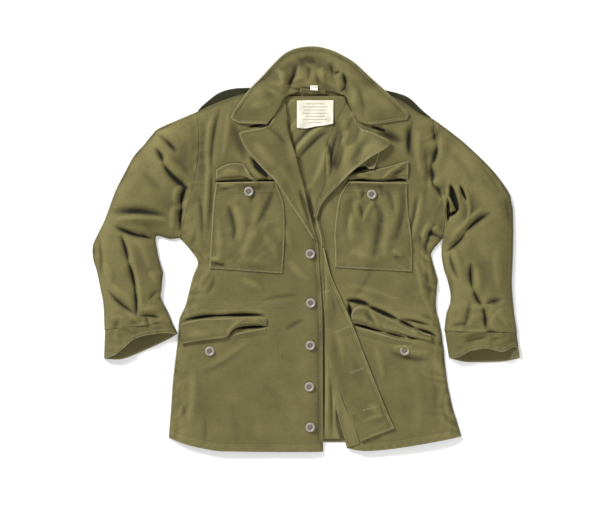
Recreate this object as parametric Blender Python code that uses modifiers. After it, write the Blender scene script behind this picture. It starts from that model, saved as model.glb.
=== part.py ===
"""Field jacket of olive cotton, laid open and flat on its back.

The tables are in millimetres: x from the centre line, positive to the wearer's left, and
y up from the lowest point of the hem. Each panel is a height field over a grid between two
of its edges. Its wall is pushed straight up, and whatever lies on it rests on its points.
"""
import math

import bmesh
import bpy
from mathutils import Vector
from mathutils.bvhtree import BVHTree

MM = 0.001
OVERALL_LENGTH = 853.0
FRAME_X = 0.5
FRAME_Y = OVERALL_LENGTH / 2

CLOTH = 1.6          # panel wall
DOUBLED = 2.2        # collar, lapel and flap wall, two cloths turned
THIN = 1.0           # lining, label and tape wall
SEAM = 0.3           # clearance where two pieces meet or lie on each other
ARMHOLE_GAP = 0.4    # clearance across the armhole and the cuff seam
BODY_RISE = 9.0      # how far the fronts stand off the back
BODY_REACH = 46.0    # width over which they come down to a folded edge
SLEEVE_RISE = 21.0
SLEEVE_REACH = 62.0
SLEEVE_BLEND = 90.0  # distance from the armhole at which a sleeve has its full rise
ARMHOLE_STEPS = 8
BUTTON_RADIUS = 10.0

# ---- Outlines of the panels ---------------------------------------------------------------
# x, y up each edge, from the hem
SIDE_RIGHT = [(-289, 29), (-285, 81), (-280, 151), (-271, 228), (-267, 278),
              (-254, 307), (-239, 365), (-228, 397), (-241, 421), (-266, 450)]
ARMHOLE_RIGHT = [(-266, 450), (-261, 477), (-251, 512), (-238, 560), (-228, 613),
                 (-226, 666), (-231, 714)]
EDGE_RIGHT = [(34, 0), (34, 52), (34, 139), (34, 225), (33, 288),
              (32, 319), (28, 372), (26, 407), (25, 430), (22, 449)]
ROLL_RIGHT = [(22, 449), (14, 473), (-7, 563), (-24, 617), (-39, 655), (-44, 712), (-64, 766)]

SIDE_LEFT = [(325, 32), (317, 59), (308, 88), (295, 149), (288, 214), (282, 256),
             (273, 296), (272, 322), (275, 361), (264, 401), (263, 420), (287, 450)]
ARMHOLE_LEFT = [(287, 450), (292, 498), (280, 542), (269, 556), (261, 581), (263, 607),
                (271, 635), (276, 659), (266, 699)]
EDGE_LEFT = [(86, 7), (72, 58), (64, 90), (55, 151), (45, 210), (42, 254),
             (37, 298), (35, 323), (34, 361), (33, 399), (32, 424), (29, 452)]
ROLL_LEFT = [(29, 452), (20, 490), (24, 523), (41, 556), (58, 620), (74, 690), (98, 746)]

# hem_x, hem_y between the two front corners of a panel
HEM_RIGHT = [(-289, 29), (-250, 15), (-193, 3), (-154, 1), (-60, 0), (34, 0)]
HEM_LEFT = [(86, 7), (121, 2), (169, 5), (225, 13), (281, 23), (325, 32)]
HEM_BACK = [(-289, 29), (-180, 23), (-60, 20), (90, 20), (200, 24), (325, 32)]
SHOULDER_RIGHT = [(-231, 714), (-203, 728), (-173, 740), (-135, 752), (-64, 766)]
SHOULDER_LEFT = [(266, 699), (238, 712), (213, 730), (192, 742), (165, 751), (98, 746)]
TOP_BACK = SHOULDER_RIGHT + [(-44, 752), (-20, 760), (16, 766), (56, 760), (84, 753)] + SHOULDER_LEFT[::-1]

# outer_x, outer_y, inner_x, inner_y: a row for each section of the sleeve below the armhole
SLEEVE_RIGHT = [
    (-270, 697, -287, 448), (-315, 676, -307, 454), (-341, 645, -314, 455),
    (-363, 620, -317, 454), (-399, 552, -318, 452), (-423, 488, -319, 446),
    (-448, 435, -317, 434), (-448, 407, -312, 407), (-440, 380, -303, 376),
    (-433, 346, -306, 342), (-427, 317, -307, 322), (-425, 293, -294, 296),
    (-424, 256, -284, 273)]
SLEEVE_LEFT = [
    (292, 680, 288, 448), (324, 655, 288, 445), (356, 626, 287, 441),
    (388, 594, 286, 436), (411, 565, 285, 430), (427, 539, 285, 422),
    (433, 508, 285, 412), (434, 456, 287, 399), (433, 407, 290, 384),
    (431, 357, 299, 355), (433, 319, 304, 319), (436, 289, 295, 288),
    (442, 250, 291, 254)]

# mouth_x, mouth_y of each cuff, from its outer fold to its inner fold
CUFF_RIGHT_UPPER = [(-426, 195), (-403, 204), (-384, 218), (-366, 234), (-342, 244),
                    (-301, 250), (-271, 248)]
CUFF_RIGHT_LOWER = [(-426, 195), (-393, 194), (-366, 202), (-325, 220), (-293, 235), (-271, 248)]
CUFF_LEFT_UPPER = [(449, 197), (440, 221), (411, 211), (377, 218), (345, 213), (320, 200), (300, 197)]
CUFF_LEFT_LOWER = [(449, 197), (434, 193), (407, 189), (365, 188), (331, 189), (300, 197)]

# inner_x, inner_y, outer_x, outer_y: a row for each section of a piece that lies on a panel
LINING = [
    (20, 27, 96, 27), (12, 109, 83, 109), (7, 214, 70, 214), (-3, 319, 60, 319),
    (-14, 424, 54, 424), (-24, 498, 49, 498), (-39, 561, 62, 561), (-56, 624, 70, 624),
    (-62, 687, 85, 687), (-52, 728, 86, 724), (-42, 748, 80, 748)]
LAPEL_RIGHT = [
    (-49, 743, -46, 745), (-64, 714, -42, 714), (-83, 684, -39, 682), (-133, 673, -34, 659),
    (-140, 664, -29, 643), (-125, 634, -22, 620), (-93, 596, -14, 588), (-66, 569, -7, 563),
    (-37, 525, 3, 517), (-9, 483, 14, 473), (12, 449, 22, 443)]
LAPEL_LEFT = [
    (85, 733, 96, 712), (66, 697, 114, 680), (51, 666, 140, 670), (43, 640, 176, 647),
    (41, 613, 133, 617), (42, 588, 98, 590), (39, 556, 68, 561), (24, 523, 35, 527),
    (14, 494, 20, 492)]
FACING_LEFT = [
    (32, 430, 37, 428), (34, 372, 51, 372), (36, 319, 74, 319), (39, 277, 93, 277),
    (45, 210, 119, 210), (63, 146, 143, 149), (86, 87, 168, 87), (114, 23, 185, 50)]
LINING_STRIP = [
    (51, 176, 56, 174), (57, 134, 67, 134), (63, 90, 84, 88), (71, 58, 98, 64), (86, 9, 112, 17)]
COLLAR = [
    (-83, 688, -142, 690), (-68, 706, -158, 703), (-56, 724, -140, 734), (-50, 738, -118, 763),
    (-43, 746, -92, 791), (-33, 751, -72, 813), (-20, 756, -47, 837), (-3, 760, -20, 849),
    (16, 762, 12, 853), (37, 760, 43, 848), (56, 757, 72, 836), (72, 752, 102, 818),
    (83, 746, 131, 791), (90, 732, 161, 763), (97, 712, 188, 737), (112, 693, 213, 712),
    (133, 687, 211, 698)]
CHEST_POCKET_RIGHT = [
    (-204, 386, -51, 375), (-202, 424, -48, 414), (-198, 483, -46, 462),
    (-195, 529, -48, 519), (-190, 566, -63, 568)]
CHEST_POCKET_LEFT = [
    (60, 388, 221, 379), (60, 424, 222, 420), (59, 462, 219, 462),
    (67, 527, 213, 506), (88, 568, 211, 565)]
CHEST_FLAP_RIGHT = [
    (-189, 592, -189, 570), (-169, 603, -169, 572), (-148, 606, -148, 574),
    (-134, 603, -134, 575), (-125, 592, -125, 575), (-117, 579, -117, 572), (-108, 570, -107, 567)]
CHEST_FLAP_LEFT = [
    (90, 577, 90, 572), (103, 584, 103, 574), (118, 584, 118, 575), (132, 588, 132, 572),
    (154, 594, 154, 569), (175, 599, 172, 572), (195, 605, 195, 576), (214, 611, 213, 574)]
HIP_FLAP_RIGHT = [
    (-264, 268, -264, 227), (-231, 277, -226, 234), (-201, 279, -193, 238),
    (-172, 280, -169, 242), (-152, 281, -155, 258), (-129, 282, -131, 268),
    (-106, 282, -106, 268), (-84, 281, -86, 266)]
HIP_FLAP_LEFT = [
    (95, 288, 95, 278), (100, 300, 100, 273), (111, 306, 111, 270), (124, 304, 124, 267),
    (138, 296, 138, 262), (160, 285, 160, 256), (190, 271, 186, 252), (216, 257, 207, 247),
    (262, 246, 262, 232)]
HIP_WELT_RIGHT = [
    (-164, 238, -160, 224), (-148, 249, -145, 236), (-129, 253, -127, 240),
    (-106, 257, -104, 244), (-84, 261, -82, 248)]
HIP_WELT_LEFT = [
    (100, 264, 97, 250), (133, 255, 130, 241), (160, 247, 157, 233), (192, 238, 190, 224),
    (224, 232, 223, 218)]
STRAP_RIGHT = [
    (-222, 698, -229, 717), (-209, 702, -217, 730), (-185, 710, -186, 754),
    (-153, 720, -154, 764), (-110, 733, -110, 766)]
STRAP_LEFT = [
    (256, 684, 261, 704), (237, 689, 242, 720), (211, 696, 218, 743), (185, 703, 193, 754),
    (155, 712, 160, 762)]
THROAT_TAB = [(133, 640, 155, 636), (123, 606, 146, 604), (132, 593, 140, 593)]
NECK_LABEL = [
    (-20, 681, -20, 738), (-1, 680, -1, 739), (20, 684, 20, 739), (38, 686, 38, 739),
    (56, 690, 57, 739)]
HANGER_LOOP = [(-14, 755, -14, 766), (6, 753, 6, 763), (24, 753, 24, 761), (41, 753, 41, 763)]
SIZE_TAG = [(8, 760, 8, 770), (24, 759, 24, 770)]

# x, y to x, y, half_width, height of the largest folds; a trough has a negative height
LARGE_FOLDS = [
    (-401, 481, -297, 481, 15, 5), (-396, 462, -322, 452, 15, -7), (-388, 445, -360, 350, 14, -7),
    (-360, 350, -357, 288, 14, -6), (-292, 640, -262, 590, 16, -5), (-262, 590, -262, 470, 15, -6),
    (296, 424, 385, 500, 15, -6), (345, 385, 372, 262, 14, -6), (270, 690, 262, 590, 14, -5),
    (-182, 720, -199, 600, 16, -3), (281, 222, 308, 80, 15, -3), (300, 540, 330, 500, 15, -7)]

# name, x, y of each button's centre
BUTTONS = [
    ("button_front_1", 8, 416), ("button_front_2", 9, 313), ("button_front_3", 8, 224),
    ("button_front_4", 6, 137), ("button_front_5", 8, 52),
    ("button_chest_right", -121, 547), ("button_chest_left", 137, 541),
    ("button_hip_right", -203, 212), ("button_hip_left", 206, 213)]
# radius, height of the button's turned profile, from its rim's foot to its sunk middle
BUTTON_PROFILE = [(BUTTON_RADIUS - 1.0, 0.0), (BUTTON_RADIUS, 1.2), (BUTTON_RADIUS - 0.8, 3.0),
                  (BUTTON_RADIUS - 3.0, 3.2), (BUTTON_RADIUS - 4.4, 1.9)]

# name, red, green, blue, roughness of each material
FINISHES = {
    "cloth": (0.165, 0.150, 0.062, 0.90),
    "lining": (0.200, 0.180, 0.085, 0.85),
    "label": (0.800, 0.770, 0.620, 0.85),
    "button": (0.480, 0.450, 0.400, 0.45)}

for leftover in list(bpy.data.objects):
    bpy.data.objects.remove(leftover, do_unlink=True)
jacket = bpy.data.collections.new("field_jacket")
bpy.context.scene.collection.children.link(jacket)


def material(name, finish):
    """A Principled material of the piece's own."""
    red, green, blue, roughness = FINISHES[finish]
    made = bpy.data.materials.new(name)
    made.use_nodes = True
    shader = made.node_tree.nodes["Principled BSDF"]
    shader.inputs["Base Color"].default_value = (red, green, blue, 1.0)
    shader.inputs["Roughness"].default_value = roughness
    shader.inputs["Metallic"].default_value = 0.0
    return made


def place(name, mesh, finish):
    """Put a mesh in the jacket's collection as one named piece."""
    mesh.name = name
    mesh.materials.append(material(name, finish))
    piece = bpy.data.objects.new(name, mesh)
    jacket.objects.link(piece)
    bpy.context.view_layer.update()
    return piece


# ---- Curves and grids ---------------------------------------------------------------------

def smooth(points, count):
    """Count + 1 points evenly along a Catmull-Rom curve through the given points."""
    knots = [Vector(point) for point in points]
    knots = [2 * knots[0] - knots[1]] + knots + [2 * knots[-1] - knots[-2]]
    fine = []
    for before, start, end, after in zip(knots, knots[1:], knots[2:], knots[3:]):
        for step in range(12):
            t = step / 12
            fine.append(0.5 * (2 * start + (end - before) * t
                               + (2 * before - 5 * start + 4 * end - after) * t * t
                               + (3 * start - before - 3 * end + after) * t ** 3))
    fine.append(knots[-2])
    return evenly(fine, count)


def evenly(points, count):
    """Count + 1 points at equal distances along a polyline."""
    points = [Vector(point) for point in points]
    lengths = [0.0]
    for start, end in zip(points, points[1:]):
        lengths.append(lengths[-1] + (end - start).length)
    chosen = []
    index = 0
    for step in range(count + 1):
        target = lengths[-1] * step / count
        while index < len(points) - 2 and lengths[index + 1] < target:
            index += 1
        part = (target - lengths[index]) / max(lengths[index + 1] - lengths[index], 1e-9)
        chosen.append(points[index].lerp(points[index + 1], min(part, 1.0)))
    return chosen


def between(left, right, columns, bottom=None, top=None):
    """Grid rows from a left edge to a right edge, bent to meet a curved bottom or top."""
    rows = [[start.lerp(end, column / columns) for column in range(columns + 1)]
            for start, end in zip(left, right)]
    last = len(rows) - 1
    bent = [[point.copy() for point in row] for row in rows]
    for curve, base in ((bottom, 0), (top, last)):
        if curve is None:
            continue
        for index in range(last + 1):
            weight = 1 - abs(index - base) / last
            for column in range(columns + 1):
                bent[index][column] += weight * (curve[column] - rows[base][column])
    return bent


def sections(table, columns, rows):
    """Grid through a table of paired edge points, with smoothed edges."""
    first = smooth([(x, y) for x, y, _, _ in table], rows)
    second = smooth([(x, y) for _, _, x, y in table], rows)
    return between(first, second, columns)


def distance_to(point, line):
    """Distance from a point to a polyline."""
    nearest = math.inf
    for start, end in zip(line, line[1:]):
        run = end - start
        part = max(0.0, min(1.0, (point - start).dot(run) / max(run.length_squared, 1e-9)))
        nearest = min(nearest, (point - start - run * part).length)
    return nearest


# ---- Walls and layers ---------------------------------------------------------------------

def walled(name, rows, heights, wall, finish):
    """A closed sheet: the grid at its heights, with its wall pushed straight up."""
    sheet = bmesh.new()
    columns = len(rows[0]) - 1
    bmesh.ops.create_grid(sheet, x_segments=columns, y_segments=len(rows) - 1, size=1)
    sheet.verts.ensure_lookup_table()
    ordered = sorted(sheet.verts, key=lambda vert: (round(vert.co.y, 5), round(vert.co.x, 5)))
    flat = [(point, height) for row, levels in zip(rows, heights) for point, height in zip(row, levels)]
    for vert, (point, height) in zip(ordered, flat):
        vert.co = Vector((point.x - FRAME_X, point.y - FRAME_Y, height)) * MM
    return raise_wall(name, sheet, wall, finish)


def raise_wall(name, sheet, wall, finish):
    """Push a sheet's faces up by its wall and place the closed body."""
    below = sheet.faces[:]
    raised = bmesh.ops.extrude_face_region(sheet, geom=below, use_keep_orig=True)
    moved = [item for item in raised["geom"] if isinstance(item, bmesh.types.BMVert)]
    bmesh.ops.translate(sheet, verts=moved, vec=(0, 0, wall * MM))
    bmesh.ops.triangulate(sheet, faces=sheet.faces[:])
    bmesh.ops.recalc_face_normals(sheet, faces=sheet.faces[:])
    mesh = bpy.data.meshes.new(name)
    sheet.to_mesh(mesh)
    sheet.free()
    return place(name, mesh, finish)


def flat_panel(name, outline, wall, finish):
    """A flat panel on the floor, cut to an outline."""
    sheet = bmesh.new()
    corners = [sheet.verts.new(((point.x - FRAME_X) * MM, (point.y - FRAME_Y) * MM, 0)) for point in outline]
    sheet.faces.new(corners)
    return raise_wall(name, sheet, wall, finish)


def ground():
    """Search tree of everything laid so far."""
    points = []
    faces = []
    for piece in jacket.objects:
        start = len(points)
        points += [piece.matrix_world @ vert.co for vert in piece.data.vertices]
        faces += [[start + index for index in face.vertices] for face in piece.data.polygons]
    return BVHTree.FromPolygons(points, faces)


def top_at(tree, point):
    """Height in mm of what already lies at a point, 0 on the bare floor."""
    start = Vector(((point.x - FRAME_X) * MM, (point.y - FRAME_Y) * MM, 1.0))
    hit = tree.ray_cast(start, Vector((0, 0, -1)))[0]
    return 0.0 if hit is None else hit.z / MM


def resting(rows, reach, gap=SEAM):
    """Heights at which a grid clears everything within reach of each of its points."""
    tree = ground()
    around = [Vector((math.cos(turn * math.pi / 4), math.sin(turn * math.pi / 4))) for turn in range(8)]
    heights = []
    for row in rows:
        levels = []
        for point in row:
            tests = [point] + [point + reach * part * way for part in (0.5, 1.0) for way in around]
            highest = max(top_at(tree, test) for test in tests)
            levels.append(highest + gap if highest > 0 else 0.0)
        heights.append(levels)
    return heights


def raised(rows, heights, form):
    """Lift heights to a form, where it is higher."""
    return [[max(level, form(point)) for point, level in zip(row, levels)]
            for row, levels in zip(rows, heights)]


def lay(name, rows, wall, finish, reach, lift=None):
    """Lay a piece on what is there, lifted by a function of its row and column."""
    heights = resting(rows, reach)
    if lift:
        last_row = len(rows) - 1
        last_column = len(rows[0]) - 1
        heights = [[level + lift(column / last_column, index / last_row) for column, level in enumerate(levels)]
                   for index, levels in enumerate(heights)]
    return walled(name, rows, heights, wall, finish)


# ---- Crown: how high the upper layer stands ------------------------------------------------

def vectors(points):
    return [Vector(point) for point in points]


def outer_edge(table):
    return vectors([(x, y) for x, y, _, _ in table])


def inner_edge(table):
    return vectors([(x, y) for _, _, x, y in table])


FOLDS = [vectors(SIDE_RIGHT), vectors(SIDE_LEFT), vectors(EDGE_RIGHT + ROLL_RIGHT[1:]),
         vectors(EDGE_LEFT + ROLL_LEFT[1:]),
         vectors(SHOULDER_RIGHT), vectors(SHOULDER_LEFT),
         vectors([ARMHOLE_RIGHT[-1]]) + outer_edge(SLEEVE_RIGHT) + vectors([CUFF_RIGHT_LOWER[0]]),
         vectors([ARMHOLE_RIGHT[0]]) + inner_edge(SLEEVE_RIGHT) + vectors([CUFF_RIGHT_LOWER[-1]]),
         vectors([ARMHOLE_LEFT[-1]]) + outer_edge(SLEEVE_LEFT) + vectors([CUFF_LEFT_LOWER[0]]),
         vectors([ARMHOLE_LEFT[0]]) + inner_edge(SLEEVE_LEFT) + vectors([CUFF_LEFT_LOWER[-1]])]
ARMHOLES = [smooth(ARMHOLE_RIGHT, 12), smooth(ARMHOLE_LEFT, 12)]


def arch(distance, reach):
    """Quarter ellipse from 0 at a folded edge to 1 at its reach."""
    part = min(distance / reach, 1.0)
    return math.sqrt(1 - (1 - part) ** 2)


def folded(point):
    """Height that the largest folds add or take away at a point."""
    change = 0.0
    for x, y, end_x, end_y, half_width, height in LARGE_FOLDS:
        away = distance_to(point, vectors([(x, y), (end_x, end_y)])) / half_width
        change += height * math.exp(-away * away)
    return change


def crown(point, sleeve):
    """Underside of the upper layer, over the lower one, at a point of the body or a sleeve."""
    edge = min(distance_to(point, fold) for fold in FOLDS)
    if not sleeve:
        rounded = arch(edge, BODY_REACH)
        return CLOTH + SEAM + (BODY_RISE + folded(point)) * rounded
    away = min(1.0, min(distance_to(point, armhole) for armhole in ARMHOLES) / SLEEVE_BLEND)
    away = away * away * (3 - 2 * away)
    rise = BODY_RISE + (SLEEVE_RISE - BODY_RISE) * away
    reach = BODY_REACH + (SLEEVE_REACH - BODY_REACH) * away
    return CLOTH + SEAM + (rise + folded(point)) * arch(edge, reach)


# ---- Shoulder straps, which have slipped over the shoulders and under the back -------------

lay("shoulder_strap_right", sections(STRAP_RIGHT, 3, 7), DOUBLED, "cloth", 9.0)
lay("shoulder_strap_left", sections(STRAP_LEFT, 3, 7), DOUBLED, "cloth", 9.0)

# ---- Back, lining, fronts and sleeves ------------------------------------------------------

SIDE_STEPS = 12
BACK_COLUMNS = 18
armhole_right = smooth(ARMHOLE_RIGHT, ARMHOLE_STEPS)
armhole_left = smooth(ARMHOLE_LEFT, ARMHOLE_STEPS)
back_rows = between(smooth(SIDE_RIGHT, SIDE_STEPS) + armhole_right[1:],
                    smooth(SIDE_LEFT, SIDE_STEPS) + armhole_left[1:], BACK_COLUMNS,
                    bottom=smooth(HEM_BACK, BACK_COLUMNS), top=smooth(TOP_BACK, BACK_COLUMNS))
lay("back", back_rows, CLOTH, "cloth", 42.0)


def shifted(points, x, y):
    return [point + Vector((x, y)) for point in points]


def sleeve_under(name, table, armhole, away):
    """Under panel of a sleeve, flat on the floor."""
    outline = (shifted(armhole, away, 0) + outer_edge(table) + inner_edge(table)[::-1])
    flat_panel(name, outline, CLOTH, "cloth")


sleeve_under("sleeve_right_under", SLEEVE_RIGHT, armhole_right, -ARMHOLE_GAP)
sleeve_under("sleeve_left_under", SLEEVE_LEFT, armhole_left, ARMHOLE_GAP)
lay("back_lining", sections(LINING, 3, 13), THIN, "lining", 36.0)


def front(name, side, armhole, edge, roll, hem, shoulder, columns):
    """Front panel from its side seam and armhole to its front edge and roll line."""
    left = vectors(side) + armhole[1:]
    right = vectors(edge) + smooth(roll, ARMHOLE_STEPS)[1:]
    rows = between(left, right, columns, bottom=smooth(hem, columns), top=smooth(shoulder, columns))
    heights = raised(rows, resting(rows, 28.0), lambda point: crown(point, False))
    return walled(name, rows, heights, CLOTH, "cloth")


front("front_right", SIDE_RIGHT, armhole_right, EDGE_RIGHT, ROLL_RIGHT, HEM_RIGHT, SHOULDER_RIGHT, 10)
front("front_left", SIDE_LEFT, armhole_left, EDGE_LEFT, ROLL_LEFT, HEM_LEFT[::-1], SHOULDER_LEFT, 9)


def sleeve_top(name, table, armhole, away, columns):
    """Top panel of a sleeve, arched over the under panel."""
    top_row = shifted(armhole[::-1], away, 0)
    outer = [top_row[0]] + outer_edge(table)
    inner = [top_row[-1]] + inner_edge(table)
    rows = between(outer, inner, columns, bottom=top_row)
    heights = [[crown(point, True) for point in row] for row in rows]
    return walled(name, rows, heights, CLOTH, "cloth")


sleeve_top("sleeve_right_top", SLEEVE_RIGHT, armhole_right, -ARMHOLE_GAP, ARMHOLE_STEPS)
sleeve_top("sleeve_left_top", SLEEVE_LEFT, armhole_left, ARMHOLE_GAP, ARMHOLE_STEPS)


def cuff(name, table, upper, lower):
    """Cuff band: a flat tube, open at its mouth, whose under side lies on the floor."""
    outer = Vector(table[-1][:2]) - Vector((0, ARMHOLE_GAP))
    inner = Vector(table[-1][2:]) - Vector((0, ARMHOLE_GAP))
    across = 9
    start = evenly([outer, inner], across)
    upper_rows = [[a.lerp(b, part) for a, b in zip(start, smooth(upper, across))] for part in (0, 0.5, 1)]
    lower_rows = [[a.lerp(b, part) for a, b in zip(start, smooth(lower, across))] for part in (0, 0.5, 1)]
    band = bmesh.new()
    rings = []
    for top_row, under_row in zip(upper_rows, lower_rows):
        tops = [(point, crown(point, True) + CLOTH) for point in top_row]
        unders = [(point, 0.0) for point in under_row[::-1]]
        rings.append([band.verts.new(((point.x - FRAME_X) * MM, (point.y - FRAME_Y) * MM, height * MM))
                      for point, height in tops + unders])
    for ring, following in zip(rings, rings[1:]):
        for index in range(len(ring)):
            after = (index + 1) % len(ring)
            band.faces.new((ring[index], ring[after], following[after], following[index]))
    bmesh.ops.recalc_face_normals(band, faces=band.faces[:])
    mesh = bpy.data.meshes.new(name)
    band.to_mesh(mesh)
    band.free()
    piece = place(name, mesh, "cloth")
    wall = piece.modifiers.new("wall", "SOLIDIFY")
    wall.thickness = CLOTH * MM
    wall.offset = -1.0
    return piece


cuff("cuff_right", SLEEVE_RIGHT, CUFF_RIGHT_UPPER, CUFF_RIGHT_LOWER)
cuff("cuff_left", SLEEVE_LEFT, CUFF_LEFT_UPPER, CUFF_LEFT_LOWER)

# ---- Pockets and their flaps ---------------------------------------------------------------


def pocket_lift(across, up):
    """Patch pockets stand a little fuller in the middle."""
    return 2.0 * math.sin(math.pi * across) * math.sin(math.pi * min(1.0, up + 0.15))


def flap_lift(along, down):
    """A tucked flap humps above the pocket's mouth."""
    return 2.5 * math.sin(math.pi * along) * math.sin(math.pi * down)


for flap, table in (("chest_flap_right", CHEST_FLAP_RIGHT), ("chest_flap_left", CHEST_FLAP_LEFT),
                    ("hip_flap_right", HIP_FLAP_RIGHT), ("hip_flap_left", HIP_FLAP_LEFT)):
    lay(flap, sections(table, 4, 9), DOUBLED, "cloth", 10.0, flap_lift)
lay("chest_pocket_right", sections(CHEST_POCKET_RIGHT, 6, 8), CLOTH, "cloth", 16.0, pocket_lift)
lay("chest_pocket_left", sections(CHEST_POCKET_LEFT, 6, 8), CLOTH, "cloth", 16.0, pocket_lift)
lay("hip_welt_right", sections(HIP_WELT_RIGHT, 2, 6), CLOTH, "cloth", 12.0)
lay("hip_welt_left", sections(HIP_WELT_LEFT, 2, 6), CLOTH, "cloth", 12.0)

# ---- Turned-back left edge, tab, lapels and collar -----------------------------------------

lay("lining_strip", sections(LINING_STRIP, 2, 8), THIN, "lining", 8.0)
lay("facing_left", sections(FACING_LEFT, 5, 20), DOUBLED, "cloth", 30.0)
lay("throat_tab", sections(THROAT_TAB, 2, 4), DOUBLED, "cloth", 8.0)


def lapel_lift(across, up):
    """A lapel rolls away from the front, highest along its roll line."""
    return 3.0 * math.sin(math.pi * (0.2 + 0.6 * across)) * math.sin(math.pi * up)


lay("lapel_right", sections(LAPEL_RIGHT, 6, 14), DOUBLED, "cloth", 11.0, lapel_lift)
lay("lapel_left", sections(LAPEL_LEFT, 6, 13), DOUBLED, "cloth", 11.0, lapel_lift)


def collar_lift(across, along):
    """The collar rises from the neck seam, rolls over and comes down to its outer edge."""
    return 8.0 * math.sin(math.pi * along) * math.sin(math.pi * min(1.0, 1.12 * across))


lay("collar", sections(COLLAR, 5, 26), DOUBLED, "cloth", 18.0, collar_lift)

# ---- Label, size tag and hanger loop -------------------------------------------------------

lay("neck_label", sections(NECK_LABEL, 3, 4), THIN, "label", 10.0)
lay("hanger_loop", sections(HANGER_LOOP, 1, 5), THIN, "cloth", 18.0)
lay("size_tag", sections(SIZE_TAG, 2, 2), THIN, "label", 6.0)

# ---- Buttons -------------------------------------------------------------------------------


def button(name, x, y):
    """Turned button that rests on the highest cloth under it."""
    rim = [Vector((x, y)) + BUTTON_RADIUS * part * Vector((math.cos(turn * math.pi / 6),
                                                            math.sin(turn * math.pi / 6)))
           for turn in range(12) for part in (0.4, 1.0)]
    tree = ground()
    seat = max(top_at(tree, point) for point in rim) + SEAM
    disc = bmesh.new()
    rings = []
    sides = 20
    for radius, height in BUTTON_PROFILE:
        rings.append([disc.verts.new((radius * math.cos(2 * math.pi * side / sides) * MM,
                                      radius * math.sin(2 * math.pi * side / sides) * MM, height * MM))
                      for side in range(sides)])
    for ring, following in zip(rings, rings[1:]):
        for side in range(sides):
            after = (side + 1) % sides
            disc.faces.new((ring[side], ring[after], following[after], following[side]))
    disc.faces.new(rings[0][::-1])
    disc.faces.new(rings[-1])
    bmesh.ops.recalc_face_normals(disc, faces=disc.faces[:])
    mesh = bpy.data.meshes.new(name)
    disc.to_mesh(mesh)
    disc.free()
    piece = place(name, mesh, "button")
    piece.location = Vector((x - FRAME_X, y - FRAME_Y, seat)) * MM
    bpy.context.view_layer.update()
    return piece


for name, x, y in BUTTONS:
    button(name, x, y)
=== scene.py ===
import math

import bmesh
import bpy
import numpy as np
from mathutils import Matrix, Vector


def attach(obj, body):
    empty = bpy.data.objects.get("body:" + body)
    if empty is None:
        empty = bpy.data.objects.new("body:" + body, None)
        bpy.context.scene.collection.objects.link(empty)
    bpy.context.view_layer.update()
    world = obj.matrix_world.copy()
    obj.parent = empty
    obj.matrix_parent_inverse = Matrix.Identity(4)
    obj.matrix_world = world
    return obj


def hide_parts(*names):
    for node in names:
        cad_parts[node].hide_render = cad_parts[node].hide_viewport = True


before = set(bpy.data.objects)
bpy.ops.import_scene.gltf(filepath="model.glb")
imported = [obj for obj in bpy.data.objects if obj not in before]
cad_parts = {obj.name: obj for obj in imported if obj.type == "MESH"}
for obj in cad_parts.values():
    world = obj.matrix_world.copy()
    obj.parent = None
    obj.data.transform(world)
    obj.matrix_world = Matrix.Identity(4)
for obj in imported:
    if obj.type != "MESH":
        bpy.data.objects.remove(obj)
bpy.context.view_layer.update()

# ---- Camera, floor and light ---------------------------------------------------------------
# The jacket lies on a plain pale floor and is seen from straight above. A broad soft light
# stands above the collar, towards the right sleeve, and a weak one fills from the other side.
VIEW_CENTRE = (0.0016, -0.0264)
VIEW_WIDTH = 1.2915
CAMERA_HEIGHT = 4.0
SENSOR = 36.0
FAR_END = 50.0
CLOTH_LEVEL = 0.012
FLOOR_HALF = 6.0
FLOOR_DROP = 0.0004
SKY_STRENGTH = 0.40
# name, x, y, z, size, power in watts
LIGHTS = [("key", -4.2, 4.8, 3.9, 2.2, 775), ("fill", 0.6, -2.2, 2.4, 2.2, 62)]


def wire(node, inputs):
    """Set a node's inputs by name, or link them where a socket is given."""
    for label, value in inputs.items():
        if isinstance(value, bpy.types.NodeSocket):
            node.id_data.links.new(value, node.inputs[label])
        else:
            node.inputs[label].default_value = value


def new_material(name, inputs):
    """A material whose Principled shader has the given inputs."""
    made = bpy.data.materials.new(name)
    made.use_nodes = True
    wire(made.node_tree.nodes["Principled BSDF"], inputs)
    return made


def put(name, data):
    """A new object in the scene."""
    piece = bpy.data.objects.new(name, data)
    bpy.context.scene.collection.objects.link(piece)
    return piece


camera_data = bpy.data.cameras.new("camera")
camera_data.sensor_width = SENSOR
camera_data.lens = SENSOR * CAMERA_HEIGHT / VIEW_WIDTH
camera_data.clip_end = FAR_END
camera = put("camera", camera_data)
camera.location = (*VIEW_CENTRE, CAMERA_HEIGHT + CLOTH_LEVEL)
bpy.context.scene.camera = camera

floor_mesh = bpy.data.meshes.new("floor")
floor_shape = bmesh.new()
bmesh.ops.create_grid(floor_shape, x_segments=1, y_segments=1, size=FLOOR_HALF)
floor_shape.to_mesh(floor_mesh)
floor_shape.free()
floor_mesh.materials.append(new_material("pale floor", {
    "Base Color": (0.93, 0.93, 0.93, 1), "Roughness": 0.9, "Specular IOR Level": 0.1}))
floor = put("floor", floor_mesh)
floor.location.z = -FLOOR_DROP

for name, x, y, z, size, power in LIGHTS:
    lamp = bpy.data.lights.new(name, "AREA")
    lamp.shape = "DISK"
    lamp.size = size
    lamp.energy = power
    light = put(name, lamp)
    light.location = (x, y, z)
    light.rotation_euler = (-Vector((x, y, z))).to_track_quat("-Z", "Y").to_euler()

sky = bpy.data.worlds.new("studio")
bpy.context.scene.world = sky
sky.use_nodes = True
wire(sky.node_tree.nodes["Background"], {"Color": (1, 1, 1, 1), "Strength": SKY_STRENGTH})
bpy.context.scene.view_settings.view_transform = "Standard"

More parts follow.
